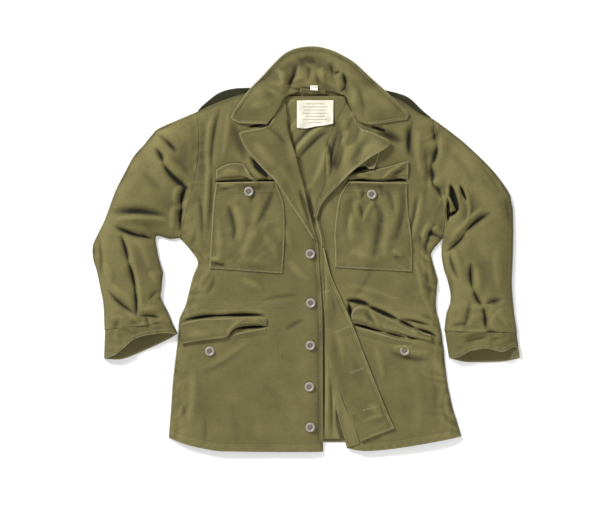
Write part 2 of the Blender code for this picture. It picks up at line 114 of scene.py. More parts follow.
# ---- Shoulder straps -----------------------------------------------------------------------
# A strap of doubled sateen is sewn along each shoulder, from the armhole to under the collar.
# Both have slipped over the fold of the shoulder, so only their outer halves show, from below.
MM = 0.001
MIDDLE = np.array([0.5, 426.5])
STRAP_WALL = 1.6
STRAP_STITCH = 5.0
FAR_FROM_EDGE = 40.0
# Tables are in millimetres: x from the centre line, y up from the lowest point of the hem.
# Each row of a piece's table pairs a point of its one edge with a point of the other.
STRAP_RIGHT = [
    (-222, 698, -229, 717), (-209, 702, -217, 730), (-185, 710, -186, 754),
    (-153, 720, -154, 764), (-110, 733, -110, 766)]
STRAP_LEFT = [
    (256, 684, 261, 704), (237, 689, 242, 720), (211, 696, 218, 743), (185, 703, 193, 754),
    (155, 712, 160, 762)]
# The pile is a map of how high the cloth laid so far reaches, in cells of 2 mm.
CELL = 2.0
PILE_SIZE = (960, 920)
PILE_CORNER = np.array([480.0, 33.0])
pile = np.zeros((int(PILE_SIZE[0] / CELL), int(PILE_SIZE[1] / CELL)))


def spline(points, spots):
    """Points of a Catmull-Rom curve at the given fractions of its knots' index range."""
    knots = np.array(points, float)
    knots = np.vstack([2 * knots[0] - knots[1], knots, 2 * knots[-1] - knots[-2]])
    place = np.asarray(spots, float) * (len(points) - 1)
    index = np.minimum(place.astype(int), len(points) - 2)
    t = (place - index)[:, None]
    a, b, c, d = (knots[index + step] for step in range(4))
    return 0.5 * (2 * b + (c - a) * t + (2 * a - 5 * b + 4 * c - d) * t ** 2
                  + (3 * b - a - 3 * c + d) * t ** 3)


def even_spots(lines, count):
    """Fractions of the index range that space the mean of several lines evenly."""
    fine = np.linspace(0, 1, 400)
    middle = np.mean([spline(line, fine) for line in lines], axis=0)
    run = np.concatenate([[0], np.cumsum(np.hypot(*np.diff(middle, axis=0).T))])
    return np.interp(np.linspace(0, run[-1], count), run, fine)


def across_grid(left, right, columns, edge=9.0):
    """Rows of points from left to right, closer together near the edges."""
    shares = np.linspace(0, 1, columns)
    width = np.hypot(*(right - left).T).mean()
    pull = min(0.35, 0.6 * edge / width)
    shares = shares - pull * np.sin(2 * np.pi * shares) / (2 * np.pi)
    return left[:, None] * (1 - shares[None, :, None]) + right[:, None] * shares[None, :, None]


def to_line(grid, line):
    """Distance of each grid point from a polyline, and where along it from 0 to 1."""
    line = np.asarray(line, float)
    best = np.full(grid.shape[:-1], np.inf)
    along = np.zeros(grid.shape[:-1])
    count = len(line) - 1
    for index in range(count):
        start, run = line[index], line[index + 1] - line[index]
        part = np.clip(((grid - start) @ run) / max(run @ run, 1e-9), 0, 1)
        away = np.hypot(*np.moveaxis(grid - start - part[..., None] * run, -1, 0))
        nearer = away < best
        best = np.where(nearer, away, best)
        along = np.where(nearer, (index + part) / count, along)
    return best, along


def ripple(grid, seed, size, height):
    """Gentle unevenness of cloth: a few crossing waves about size mm long."""
    rng = np.random.default_rng(seed)
    total = np.zeros(grid.shape[:-1])
    for _ in range(9):
        turn, phase = rng.uniform(0, 2 * math.pi, 2)
        length = size * rng.uniform(0.6, 1.7)
        way = np.array([math.cos(turn), math.sin(turn)]) / length
        total += np.sin(2 * math.pi * (grid @ way) + phase)
    return height * total / 4.0


def rim(grid):
    """The four edges of a grid, as polylines."""
    return grid[:, 0], grid[:, -1], grid[0], grid[-1]


def table_grid(table, rows, columns, edge=3.0):
    """Grid through a table of paired edge points."""
    first = np.array([row[:2] for row in table], float)
    second = np.array([row[2:] for row in table], float)
    spots = even_spots([first, second], rows)
    return across_grid(spline(first, spots), spline(second, spots), columns, edge)


def edge_distance(grid, *lines):
    """Distance to the nearest of a panel's worked edges."""
    return np.min([to_line(grid, line)[0] for line in lines], axis=0)


def hemmed(away, width, step):
    """Height of a turned and stitched edge: doubled cloth out to the stitches, then a groove."""
    doubled = step / (1 + np.exp(np.minimum((away - width) / 0.7, 50)))
    groove = 0.55 * np.exp(-((away - width - 0.6) / 1.5) ** 2)
    return doubled - groove


def heap(grid, tops):
    """Raise the pile to a sheet's tops."""
    fine = np.linspace(0, 1, 4)[:-1]
    spots = []
    levels = []
    for s in fine:
        for t in fine:
            for source, store in ((grid, spots), (tops[..., None], levels)):
                a = source[:-1, :-1] * (1 - s) + source[1:, :-1] * s
                b = source[:-1, 1:] * (1 - s) + source[1:, 1:] * s
                store.append((a * (1 - t) + b * t).reshape(-1, source.shape[-1]))
    index = np.round((np.vstack(spots) + PILE_CORNER) / CELL).astype(int)
    index = np.clip(index, 0, np.array(pile.shape) - 1)
    np.maximum.at(pile, (index[:, 0], index[:, 1]), np.vstack(levels)[:, 0])


# reach, share of it: how wide round a point the cloth counts as its surroundings
RELIEF_REACHES = [(10, 1), (30, 0.45)]


def relief(grid, tops):
    """How far each point stands above or below the cloth round it."""
    total = np.zeros_like(tops)
    for reach, share in RELIEF_REACHES:
        around = tops
        for axis in (0, 1):
            pitch = np.hypot(*np.moveaxis(np.diff(grid, axis=axis), -1, 0)).mean()
            steps = int(np.clip(round(reach / pitch), 1, grid.shape[axis] // 3))
            ends = [(steps, steps) if way == axis else (0, 0) for way in (0, 1)]
            padded = np.pad(around, ends, mode="edge")
            count = 2 * steps + 1
            around = sum(np.take(padded, range(step, step + tops.shape[axis]), axis)
                         for step in range(count)) / count
        total += share * (tops - around)
    return total


def smooth_piece(name, points, faces, material):
    """An object of smooth faces, from points in metres, that moves with the jacket's one body."""
    mesh = bpy.data.meshes.new(name)
    mesh.from_pydata(points, [], faces)
    mesh.polygons.foreach_set("use_smooth", [True] * len(mesh.polygons))
    mesh.materials.append(material)
    piece = put(name, mesh)
    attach(piece, "root")
    return piece


def thicken(piece, wall, side, node, marks):
    """Give a sheet its wall and the values that its colour goes by, and hide the CAD node it stands for.
    """
    for label, values in marks.items():
        spread = piece.data.attributes.new(label, "FLOAT", "POINT")
        spread.data.foreach_set("value", values.ravel())
    shell = piece.modifiers.new("wall", "SOLIDIFY")
    shell.thickness = wall * MM
    shell.offset = side
    if node:
        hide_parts(node)


def cloth_object(name, grid, unders, wall, material, node=None, edge=None):
    """A thin shell over a grid of points, thickened upwards, standing for its CAD node."""
    rows, columns = grid.shape[:2]
    points = np.dstack([(grid - MIDDLE) * MM, unders * MM]).reshape(-1, 3)
    index = np.arange(rows * columns).reshape(rows, columns)
    corners = np.stack([index[:-1, :-1], index[:-1, 1:], index[1:, 1:], index[1:, :-1]], -1)
    corners = corners.reshape(-1, 4)
    along, up = grid[0, -1] - grid[0, 0], grid[-1, 0] - grid[0, 0]
    if along[0] * up[1] - along[1] * up[0] < 0:
        corners = corners[:, ::-1]
    if edge is None:
        edge = np.full((rows, columns), FAR_FROM_EDGE)
    piece = smooth_piece(name, points.tolist(), corners.tolist(), material)
    tops = unders + wall
    thicken(piece, wall, 1.0, node, {"edge": edge, "relief": relief(grid, tops)})
    heap(grid, tops)
    return piece


def new_group(name, source, value, result):
    """A shader node group with one float in, whose socket it gives back, and one out."""
    group = bpy.data.node_groups.new(name, "ShaderNodeTree")
    sockets = group.interface
    sockets.new_socket(source, in_out="INPUT", socket_type="NodeSocketFloat").default_value = value
    sockets.new_socket(result, in_out="OUTPUT", socket_type="NodeSocketFloat")
    return group, group.nodes.new("NodeGroupInput").outputs[source]


def add(tree, kind, inputs, **settings):
    """A node with its settings, values and links."""
    node = tree.nodes.new(kind)
    for label, value in settings.items():
        setattr(node, label, value)
    wire(node, inputs)
    return node


# Every cloth: fine ribs on the slant, crossed by finer ones, as a height.
weave, pitch = new_group("weave", "Ribs", 300.0, "Height")
at = add(weave, "ShaderNodeTexCoord", {}).outputs["Object"]
ribs = add(weave, "ShaderNodeTexWave", {"Vector": at, "Scale": pitch, "Distortion": 0.6},
           bands_direction="DIAGONAL")
finer = add(weave, "ShaderNodeMath", {0: pitch, 1: 1.4}, operation="MULTIPLY")
cross = add(weave, "ShaderNodeTexWave", {"Vector": at, "Scale": finer.outputs[0], "Distortion": 0.4},
            bands_direction="X")
both = add(weave, "ShaderNodeMath", {0: ribs.outputs["Fac"], 1: cross.outputs["Fac"]}, operation="ADD")
add(weave, "NodeGroupOutput", {"Height": both.outputs[0]})

# Uneven dye and handling: broad faint patches with a finer mottle, as a mask from 0 to 1.
mottle, size = new_group("mottle", "Patches", 14.0, "Mask")
at = add(mottle, "ShaderNodeTexCoord", {}).outputs["Object"]
broad = add(mottle, "ShaderNodeTexNoise", {
    "Vector": at, "Scale": size, "Detail": 3.0, "Roughness": 0.55})
small = add(mottle, "ShaderNodeTexNoise", {
    "Vector": at, "Scale": 160.0, "Detail": 4.0, "Roughness": 0.65})
share = add(mottle, "ShaderNodeMix", {
    "Factor": 0.4, "A": broad.outputs["Fac"], "B": small.outputs["Fac"]}, data_type="FLOAT")
add(mottle, "NodeGroupOutput", {"Mask": share.outputs["Result"]})


# Relief in mm from the bottom of a crease to the top of a fold, and how bright the cloth is painted
# there: painted shade in the creases, painted highlight on the folds
CREASE_RELIEF = (-4.8, 1.7)
CREASE_PAINTED_LIGHT = (0.06, 1.22)
# How far from a worked edge the cloth is painted paler: abrasion there, and a painted highlight along the
# edge
WEAR_AND_HIGHLIGHT_REACH = 2.4
WEAVE_DEPTH = 0.00025


def woven_material(name, dark, light, worn_and_lit, ribs_scale, roughness, sheen):
    """Cotton cloth: mottled dye, painted shade in its creases and painted highlight on its folds, paler
    along its worked edges from abrasion and a painted highlight, and its weave.
    """
    made = new_material(name, {"Roughness": roughness, "Specular IOR Level": 0.25, "Sheen Weight": sheen,
                               "Sheen Roughness": 0.45, "Sheen Tint": (*light, 1)})
    tree = made.node_tree
    patches = add(tree, "ShaderNodeGroup", {}, node_tree=mottle).outputs["Mask"]
    spread = add(tree, "ShaderNodeMapRange", {"Value": patches, "From Min": 0.34, "From Max": 0.66})
    tint = add(tree, "ShaderNodeMix", {
        "Factor": spread.outputs["Result"], "A": (*dark, 1), "B": (*light, 1)}, data_type="RGBA")
    # Painted shade and painted highlight: the relief darkens the creases and lightens the tops of the
    # folds.
    raised = add(tree, "ShaderNodeAttribute", {}, attribute_name="relief").outputs["Fac"]
    kept = add(tree, "ShaderNodeMapRange", {
        "Value": raised, "From Min": CREASE_RELIEF[0], "From Max": CREASE_RELIEF[1],
        "To Min": CREASE_PAINTED_LIGHT[0], "To Max": CREASE_PAINTED_LIGHT[1]})
    painted_fold_light = add(tree, "ShaderNodeMix", {
        "Factor": 1.0, "A": tint.outputs["Result"], "B": kept.outputs["Result"]},
        data_type="RGBA", blend_type="MULTIPLY")
    # Paler along the worked edges: abrasion together with a painted highlight.
    reach = add(tree, "ShaderNodeAttribute", {}, attribute_name="edge").outputs["Fac"]
    wear_and_highlight_mask = add(tree, "ShaderNodeMapRange", {
        "Value": reach, "From Min": WEAR_AND_HIGHLIGHT_REACH, "From Max": 0.0, "To Max": 0.75})
    with_wear_and_highlight = add(tree, "ShaderNodeMix", {
        "Factor": wear_and_highlight_mask.outputs["Result"], "A": painted_fold_light.outputs["Result"], "B": (*worn_and_lit, 1)},
        data_type="RGBA")
    threads = add(tree, "ShaderNodeGroup", {}, node_tree=weave)
    threads.inputs["Ribs"].default_value = ribs_scale
    bump = add(tree, "ShaderNodeBump", {
        "Strength": 0.35, "Distance": WEAVE_DEPTH, "Height": threads.outputs["Height"]})
    wire(tree.nodes["Principled BSDF"], {
        "Base Color": with_wear_and_highlight.outputs["Result"], "Normal": bump.outputs["Normal"]})
    return made


# The straps' cloth is painted far darker than the sateen: painted shade, for straps that lie in shadow
# beyond the fold of the shoulder.
strap_shade_cloth = woven_material("strap painted shade", (0.019, 0.019, 0.007), (0.030, 0.029, 0.010),
                             (0.060, 0.057, 0.024), 330, 0.85, 0.05)
for side, table in (("right", STRAP_RIGHT), ("left", STRAP_LEFT)):
    grid = table_grid(table, 50, 20, 2.0)
    away = edge_distance(grid, *rim(grid))
    heights = hemmed(away, STRAP_STITCH, 0.4) + 0.5 + ripple(grid, 190, 30, 0.3)
    strap = cloth_object(f"strap_{side}", grid, np.maximum(heights, 0), STRAP_WALL, strap_shade_cloth,
                         f"shoulder_strap_{side}", away)

# ---- Back panel ----------------------------------------------------------------------------
# The back is one width of olive cotton sateen, outer side down on the floor and over the
# straps. It is felled to the fronts at its side seams and hemmed at the bottom.
CLOTH = 1.5
GAP = 0.35
SIDE_RIGHT = [(-289, 29), (-285, 81), (-280, 151), (-271, 228), (-267, 278),
              (-254, 307), (-239, 365), (-228, 397), (-241, 421), (-266, 450)]
ARMHOLE_RIGHT = [(-266, 450), (-261, 477), (-251, 512), (-238, 560), (-228, 613),
                 (-226, 666), (-231, 714)]
SIDE_LEFT = [(325, 32), (317, 59), (308, 88), (295, 149), (288, 214), (282, 256),
             (273, 296), (272, 322), (275, 361), (264, 401), (263, 420), (287, 450)]
ARMHOLE_LEFT = [(287, 450), (292, 498), (280, 542), (269, 556), (261, 581), (263, 607),
                (271, 635), (276, 659), (266, 699)]
HEM_BACK = [(-289, 29), (-180, 23), (-60, 20), (90, 20), (200, 24), (325, 32)]
SHOULDER_RIGHT = [(-231, 714), (-203, 728), (-173, 740), (-135, 752), (-64, 766)]
SHOULDER_LEFT = [(266, 699), (238, 712), (213, 730), (192, 742), (165, 751), (98, 746)]
NECK_BACK = [(-44, 752), (-20, 760), (16, 766), (56, 760), (84, 753)]
TOP_BACK = SHOULDER_RIGHT + NECK_BACK + SHOULDER_LEFT[::-1]
SIDE_ROWS = 160
ARMHOLE_ROWS = 100
BACK_COLUMNS = 150
# x, y, to x, y, bend, half width, height, edge: the back's pressed creases, dents from below
BACK_CREASES = [
    (-180, 120, -60, 210, 18, 9, 1.4, 1.4), (60, 90, 150, 260, -14, 9, 1.3, 1.4),
    (-150, 420, 40, 470, 12, 10, 1.2, 1.6), (110, 520, 190, 640, 10, 8, 1.2, 1.4),
    (-170, 560, -90, 680, -12, 8, 1.1, 1.4), (-20, 300, 120, 330, -8, 11, 1, 1.6)]
sateen = woven_material("olive sateen", (0.103, 0.091, 0.032), (0.143, 0.125, 0.046),
                        (0.265, 0.240, 0.125), 330, 0.82, 0.2)


def smooth(points, count):
    """Points evenly along a smooth curve."""
    return spline(points, even_spots([points], count))


def bend_ends(grid, bottom=None, top=None):
    """Bend a grid's rows so that its ends meet the given curves."""
    bent = grid.copy()
    rows = len(grid)
    fade = np.linspace(1, 0, rows)[:, None, None]
    if bottom is not None:
        bent += fade * (smooth(bottom, grid.shape[1]) - grid[0])[None]
    if top is not None:
        bent += fade[::-1] * (smooth(top, grid.shape[1]) - grid[-1])[None]
    return bent


def strokes(grid, table):
    """Height that the listed creases add: each row is x, y, to x, y, bend, half width, height, edge.

    Bend pushes the middle of the stroke to its left. Edge is 2 for a soft roll and 1 for a crisp one.
    """
    total = np.zeros(grid.shape[:-1])
    for x, y, end_x, end_y, bend, half_width, height, edge in table:
        start, end = np.array([x, y], float), np.array([end_x, end_y], float)
        run = end - start
        side = np.array([-run[1], run[0]]) / max(np.hypot(*run), 1e-6)
        near = (np.abs(grid - (start + end) / 2).max(axis=-1)
                < np.abs(run).max() / 2 + abs(bend) + 4 * half_width)
        if not near.any():
            continue
        t = np.linspace(0, 1, 14)[:, None]
        line = start + run * t + side * bend * 4 * t * (1 - t)
        away, along = to_line(grid[near], line)
        taper = np.clip(np.sin(np.pi * np.clip(along, 0, 1)), 0, 1) ** 0.85
        width = half_width * (0.5 + 0.5 * taper)
        total[near] += height * taper * np.exp(-(away / width) ** edge)
    return total


def sampled(layer, grid):
    """Bilinear reading of a height map at grid points."""
    spot = (grid + PILE_CORNER) / CELL
    low = np.clip(np.floor(spot).astype(int), 0, np.array(layer.shape) - 2)
    part = spot - low
    i, j = low[..., 0], low[..., 1]
    s, t = part[..., 0], part[..., 1]
    return ((layer[i, j] * (1 - s) + layer[i + 1, j] * s) * (1 - t)
            + (layer[i, j + 1] * (1 - s) + layer[i + 1, j + 1] * s) * t)


def widened(layer, cells):
    """Each cell takes the highest value within some cells of it."""
    for axis in (0, 1):
        best = layer.copy()
        for step in range(1, cells + 1):
            best = np.maximum(best, np.roll(layer, step, axis))
            best = np.maximum(best, np.roll(layer, -step, axis))
        layer = best
    return layer


def softened(layer, cells):
    """Box blur, twice each way."""
    for axis in (0, 1, 0, 1):
        layer = sum(np.roll(layer, step, axis) for step in range(-cells, cells + 1)) / (2 * cells + 1)
    return layer


def clear(grid):
    """Lowest underside heights that keep cloth clear of the pile."""
    return sampled(widened(pile, 1), grid) + GAP


def lying(grid, soften):
    """Underside heights of cloth that lies on the pile and bridges its steps."""
    bridged = softened(widened(pile, soften + 1), soften)
    return np.maximum(clear(grid), sampled(bridged, grid) + GAP)


armhole_right = smooth(ARMHOLE_RIGHT, ARMHOLE_ROWS)
armhole_left = smooth(ARMHOLE_LEFT, ARMHOLE_ROWS)
side_right = smooth(SIDE_RIGHT, SIDE_ROWS)
side_left = smooth(SIDE_LEFT, SIDE_ROWS)
outline_right = np.vstack([side_right, armhole_right[1:]])
outline_left = np.vstack([side_left, armhole_left[1:]])
back_grid = bend_ends(across_grid(outline_right, outline_left, BACK_COLUMNS), HEM_BACK, TOP_BACK)
back_edge = edge_distance(back_grid, outline_right, outline_left, HEM_BACK)
back_over = lying(back_grid, 6)
back_over -= GAP * np.exp((GAP - back_over) / 0.5)
back_unders = np.maximum(strokes(back_grid, BACK_CREASES) * np.clip(back_edge / 30, 0, 1), back_over)
back = cloth_object("back_panel", back_grid, back_unders, CLOTH, sateen, "back", back_edge)

# ---- Under sleeves -------------------------------------------------------------------------
# The under panel of each two-piece sleeve lies flat on the floor. It is joined to the back at
# the armhole and folded into the top sleeve along its inner and outer edges.
# outer_x, outer_y, inner_x, inner_y: a row for each section of the sleeve below the armhole
SLEEVE_RIGHT = [
    (-270, 697, -287, 448), (-315, 676, -307, 454), (-341, 645, -314, 455),
    (-363, 620, -317, 454), (-399, 552, -318, 452), (-423, 488, -319, 446),
    (-448, 435, -317, 434), (-448, 407, -312, 407), (-440, 380, -303, 376),
    (-433, 346, -306, 342), (-427, 317, -307, 322), (-425, 293, -294, 296),
    (-424, 256, -284, 273)]
SLEEVE_LEFT = [
    (292, 680, 288, 448), (324, 655, 288, 445), (356, 626, 287, 441),
    (388, 594, 286, 436), (411, 565, 285, 430), (427, 539, 285, 422),
    (433, 508, 285, 412), (434, 456, 287, 399), (433, 407, 290, 384),
    (431, 357, 299, 355), (433, 319, 304, 319), (436, 289, 295, 288),
    (442, 250, 291, 254)]
ARMHOLE_GAP = 0.12
UNDER_ROWS, UNDER_COLUMNS = 110, 40
# x, y, to x, y, bend, half width, height, edge: dents under each sleeve
UNDER_CREASES = [
    (-390, 540, -300, 500, 8, 7, 1.3, 1.4), (-420, 430, -340, 380, -8, 7, 1.2, 1.4),
    (330, 560, 410, 500, -8, 7, 1.3, 1.4), (310, 380, 400, 330, 9, 7, 1.2, 1.4)]


def sleeve_grid(table, armhole, away, rows, columns):
    """Grid of a sleeve panel, from its armhole to its cuff seam, outer edge to inner edge."""
    top = armhole[::-1] + [away, 0]
    outer = np.vstack([top[:1], [row[:2] for row in table]])
    inner = np.vstack([top[-1:], [row[2:] for row in table]])
    spots = even_spots([outer, inner], rows)
    grid = across_grid(spline(outer, spots), spline(inner, spots), columns)
    return bend_ends(grid, bottom=top), spline(outer, spots), spline(inner, spots)


for side, table, armhole, away, area in (
        ("right", SLEEVE_RIGHT, armhole_right, -ARMHOLE_GAP, 0.066),
        ("left", SLEEVE_LEFT, armhole_left, ARMHOLE_GAP, 0.064)):
    grid, outer, inner = sleeve_grid(table, armhole, away, UNDER_ROWS, UNDER_COLUMNS)
    edge = edge_distance(grid, outer, inner)
    unders = np.maximum(strokes(grid, UNDER_CREASES) * np.clip(edge / 20, 0, 1), 0)
    under = cloth_object(f"under_sleeve_{side}", grid, unders, CLOTH, sateen,
                         f"sleeve_{side}_under", edge)

# ---- Lining of the back --------------------------------------------------------------------
# A plain poplin lining covers the inside of the back. It shows in the open neck and between
# the fronts at the skirt, with one long fold slanting across it below the label.
THIN = 0.9
LINING_RISE = 3.6
LINING = [
    (20, 27, 96, 27), (12, 109, 83, 109), (7, 214, 70, 214), (-3, 319, 60, 319),
    (-14, 424, 54, 424), (-24, 498, 49, 498), (-39, 561, 62, 561), (-56, 624, 70, 624),
    (-62, 687, 85, 687), (-52, 728, 86, 724), (-42, 748, 80, 748)]
# x, y, to x, y, bend, half width, height, edge
LINING_CREASES = [
    (-34, 612, 44, 690, 6, 7, 6.5, 1.5), (-42, 618, 34, 700, 6, 5, -3, 1.6),
    (-22, 606, 50, 676, 8, 6, -2.6, 1.8), (-40, 660, -12, 700, 4, 5, 2.4, 1.6),
    (-46, 700, -30, 640, 4, 5, -2.4, 1.6), (10, 560, 42, 640, -6, 7, 3.2, 1.6),
    (40, 660, 60, 600, 3, 5, -3, 1.5), (-20, 540, 20, 560, 4, 7, 2, 2),
    (-44, 742, 30, 746, 3, 3, -2, 1.5), (-44, 722, -24, 736, 3, 4, 2, 1.6),
    (43, 170, 43, 24, 0, 3.5, 2.4, 1.8), (50, 160, 53, 22, 2, 3.2, -2.6, 1.8),
    (36, 330, 37, 22, 0, 2.6, -4.5, 2), (60, 96, 80, 6, 1, 5.4, -7, 2),
    (0, 545, 21, 470, 0, 6, -5, 2), (57, 132, 62, 60, 1, 4, 2, 1.8)]
poplin = woven_material("lining poplin", (0.122, 0.108, 0.037), (0.157, 0.139, 0.052),
                        (0.170, 0.158, 0.076), 420, 0.7, 0.12)


lining_grid = table_grid(LINING, 250, 40)
lining_unders = lying(lining_grid, 1) + np.maximum(
    strokes(lining_grid, LINING_CREASES) + ripple(lining_grid, 5, 90, 0.8) + LINING_RISE, 0)
lining = cloth_object("lining", lining_grid, lining_unders, THIN, poplin, "back_lining",
                      edge_distance(lining_grid, lining_grid[0]))

# ---- Fronts --------------------------------------------------------------------------------
# Each front is one panel of sateen that stands off the back and comes down to it at the side
# seam. A stitched channel for the drawcord crosses the waist, and the hem is turned 15 mm.
EDGE_RIGHT = [(34, 0), (34, 52), (34, 139), (34, 225), (33, 288),
              (32, 319), (28, 372), (26, 407), (25, 430), (22, 449)]
ROLL_RIGHT = [(22, 449), (14, 473), (-7, 563), (-24, 617), (-39, 655), (-44, 712), (-64, 766)]
EDGE_LEFT = [(86, 7), (72, 58), (64, 90), (55, 151), (45, 210), (42, 254),
             (37, 298), (35, 323), (34, 361), (33, 399), (32, 424), (29, 452)]
ROLL_LEFT = [(29, 452), (20, 490), (24, 523), (41, 556), (58, 620), (74, 690), (98, 746)]
HEM_RIGHT = [(-289, 29), (-250, 15), (-193, 3), (-154, 1), (-60, 0), (34, 0)]
HEM_LEFT = [(325, 32), (281, 23), (225, 13), (169, 5), (121, 2), (86, 7)]
CREASE_DEPTH = 1.5
LEAST_RISE = 2.0
BODY_RISE = 9.0
BODY_REACH = 46.0
SLEEVE_RISE = 21.0
SLEEVE_REACH = 62.0
SLEEVE_BLEND = 90.0
FOLDS = [
    SIDE_RIGHT, SIDE_LEFT, EDGE_RIGHT + ROLL_RIGHT[1:], EDGE_LEFT + ROLL_LEFT[1:],
    SHOULDER_RIGHT, SHOULDER_LEFT,
    [ARMHOLE_RIGHT[-1]] + [row[:2] for row in SLEEVE_RIGHT] + [(-426, 195)],
    [ARMHOLE_RIGHT[0]] + [row[2:] for row in SLEEVE_RIGHT] + [(-271, 248)],
    [ARMHOLE_LEFT[-1]] + [row[:2] for row in SLEEVE_LEFT] + [(449, 197)],
    [ARMHOLE_LEFT[0]] + [row[2:] for row in SLEEVE_LEFT] + [(300, 197)]]

# x, y, to x, y, bend, half width, height, edge
FRONT_RIGHT_CREASES = [
    (-180, 726, -199, 590, -6, 6, -3.6, 1.5), (-194, 720, -211, 600, -4, 7, 2, 2),
    (-165, 716, -178, 610, 4, 7, 1.8, 2), (-207, 634, -215, 477, 3, 6, 2.2, 1.8),
    (-199, 590, -209, 445, 3, 6, -2.2, 1.5), (-226, 540, -219, 445, 3, 6, -2.4, 1.5),
    (-165, 517, -154, 445, 8, 7, -2.4, 1.6), (-150, 515, -140, 440, 8, 8, 1.6, 2),
    (-66, 559, -121, 456, 6, 8, -2.2, 1.6), (-93, 529, -140, 399, 6, 9, 1.6, 2),
    (-205, 401, -173, 388, 3, 4, -2, 1.3), (-208, 412, -176, 396, 3, 4, 1.6, 1.5),
    (-245, 321, -214, 338, 3, 5, -2, 1.4), (-253, 298, -222, 306, 2, 5, 1.8, 1.5),
    (-270, 214, -261, 262, 2, 5, -2, 1.5), (-119, 237, -213, 176, 6, 9, 1.6, 1.7),
    (-126, 226, -222, 162, 6, 9, -1.4, 1.7), (-266, 106, -257, 70, 4, 5, -1.4, 1.4),
    (-213, 74, -216, 12, 2, 6, -1, 1.6), (-161, 112, -148, 10, 5, 12, -0.6, 2),
    (-95, 318, -12, 329, 3, 5, -1.4, 1.6), (-45, 254, -1, 278, 3, 6, -1.6, 1.7),
    (-38, 404, 10, 360, -5, 8, 1.7, 2), (-141, 362, -92, 338, 4, 7, 1.7, 1.8),
    (-192, 372, -212, 328, 3, 6, -1.8, 1.6), (-233, 424, -212, 398, 2, 5, -2.2, 1.4),
    (-60, 150, -20, 40, 6, 14, 0.5, 2), (-110, 130, -90, 20, -6, 13, 0.5, 2),
    (-70, 500, -30, 420, 6, 9, 1.5, 2), (-240, 180, -246, 60, 4, 10, 1.6, 2),
    (-117, 592, -88, 572, 2, 5, 3, 1.6), (-152, 692, -122, 612, -4, 12, -4, 2),
    (-216, 700, -222, 560, 4, 12, -2.4, 2)]
# The pocket mouths, and the droop of the cloth above each hip flap, as deep narrow dents
POCKET_DENTS_RIGHT = [
    (-194, 568, -106, 569, -3, 3.6, -9, 2), (-106, 569, -58, 569, 0, 3, -9, 2),
    (-168, 242, -144, 264, 3, 3.4, -9, 2), (-154, 259, -82, 264, 1, 3.6, -9, 2),
    (-266, 273, -168, 286, 4, 5, -7, 1.7), (-190, 286, -84, 287, 1, 4.6, -8, 1.7),
    (-124, 683, -84, 689, 0, 2.6, -6, 2), (-120, 622, -78, 574, 0, 7, -7, 2.5),
    (-112, 602, -76, 572, 0, 5, -6, 2.5)]
POCKET_DENTS_LEFT = [
    (86, 573, 138, 569, 2, 3.4, -9, 2), (166, 570, 213, 568, 3, 3.8, -9, 2),
    (96, 270, 162, 252, 0, 4, -9, 2), (162, 252, 210, 240, 0, 2.4, -5, 2),
    (210, 246, 236, 240, 0, 4.6, -11, 2), (82, 318, 134, 307, 3, 5, -9, 1.7),
    (128, 308, 196, 277, -1, 4.4, -9, 1.7), (192, 278, 232, 258, 0, 3.6, -8, 1.6),
    (226, 260, 278, 240, 2, 3.2, -7, 1.6), (196, 280, 268, 262, 2, 3, -5, 1.6),
    (88, 314, 95, 282, 0, 5, -7, 2), (134, 685, 168, 674, 0, 3, -6, 2),
    (186, 221, 226, 217, 1, 4, 2.8, 1.8), (90, 586, 136, 600, 2, 6, -7, 2.2)]
FRONT_LEFT_CREASES = [
    (226, 700, 215, 620, -4, 7, -3.4, 1.5), (236, 676, 246, 575, -4, 8, 3, 1.8),
    (250, 640, 252, 540, 3, 6, -2, 1.5), (243, 548, 219, 439, 3, 6, 2.2, 1.7),
    (232, 540, 214, 452, 3, 5, -2.2, 1.5), (272, 480, 253, 424, -6, 5, -4, 1.3),
    (262, 484, 245, 430, -5, 6, 3.4, 1.6), (256, 474, 287, 455, 3, 4, 3.2, 1.4),
    (252, 462, 284, 446, 3, 4, -3.6, 1.3), (234, 458, 259, 397, 4, 5, -2.6, 1.4),
    (226, 400, 247, 316, 4, 6, 2, 1.7), (207, 560, 188, 445, 6, 8, -2, 1.7),
    (112, 529, 96, 450, -5, 8, 1.8, 1.8), (154, 508, 138, 399, 5, 9, -1.6, 1.8),
    (81, 351, 196, 319, 4, 6, 1, 1.6), (138, 386, 91, 317, 6, 7, -1, 1.6),
    (250, 384, 259, 317, 3, 6, -1.9, 1.5), (238, 287, 273, 272, 2, 5, -2.2, 1.4),
    (282, 222, 311, 78, 3, 8, -2.8, 1.6), (272, 220, 300, 80, 3, 8, 1.8, 2),
    (262, 170, 272, 96, 3, 9, -1.2, 1.8), (217, 195, 238, 44, 4, 12, 0.8, 2),
    (172, 226, 260, 208, -6, 8, 2, 1.7), (174, 212, 262, 194, -6, 8, -2, 1.7),
    (196, 122, 222, 22, 4, 12, -0.6, 2), (144, 226, 160, 150, 3, 8, 1.6, 1.8),
    (148, 676, 206, 650, 0, 12, -4.5, 2), (214, 690, 224, 610, -3, 9, -3, 2)]
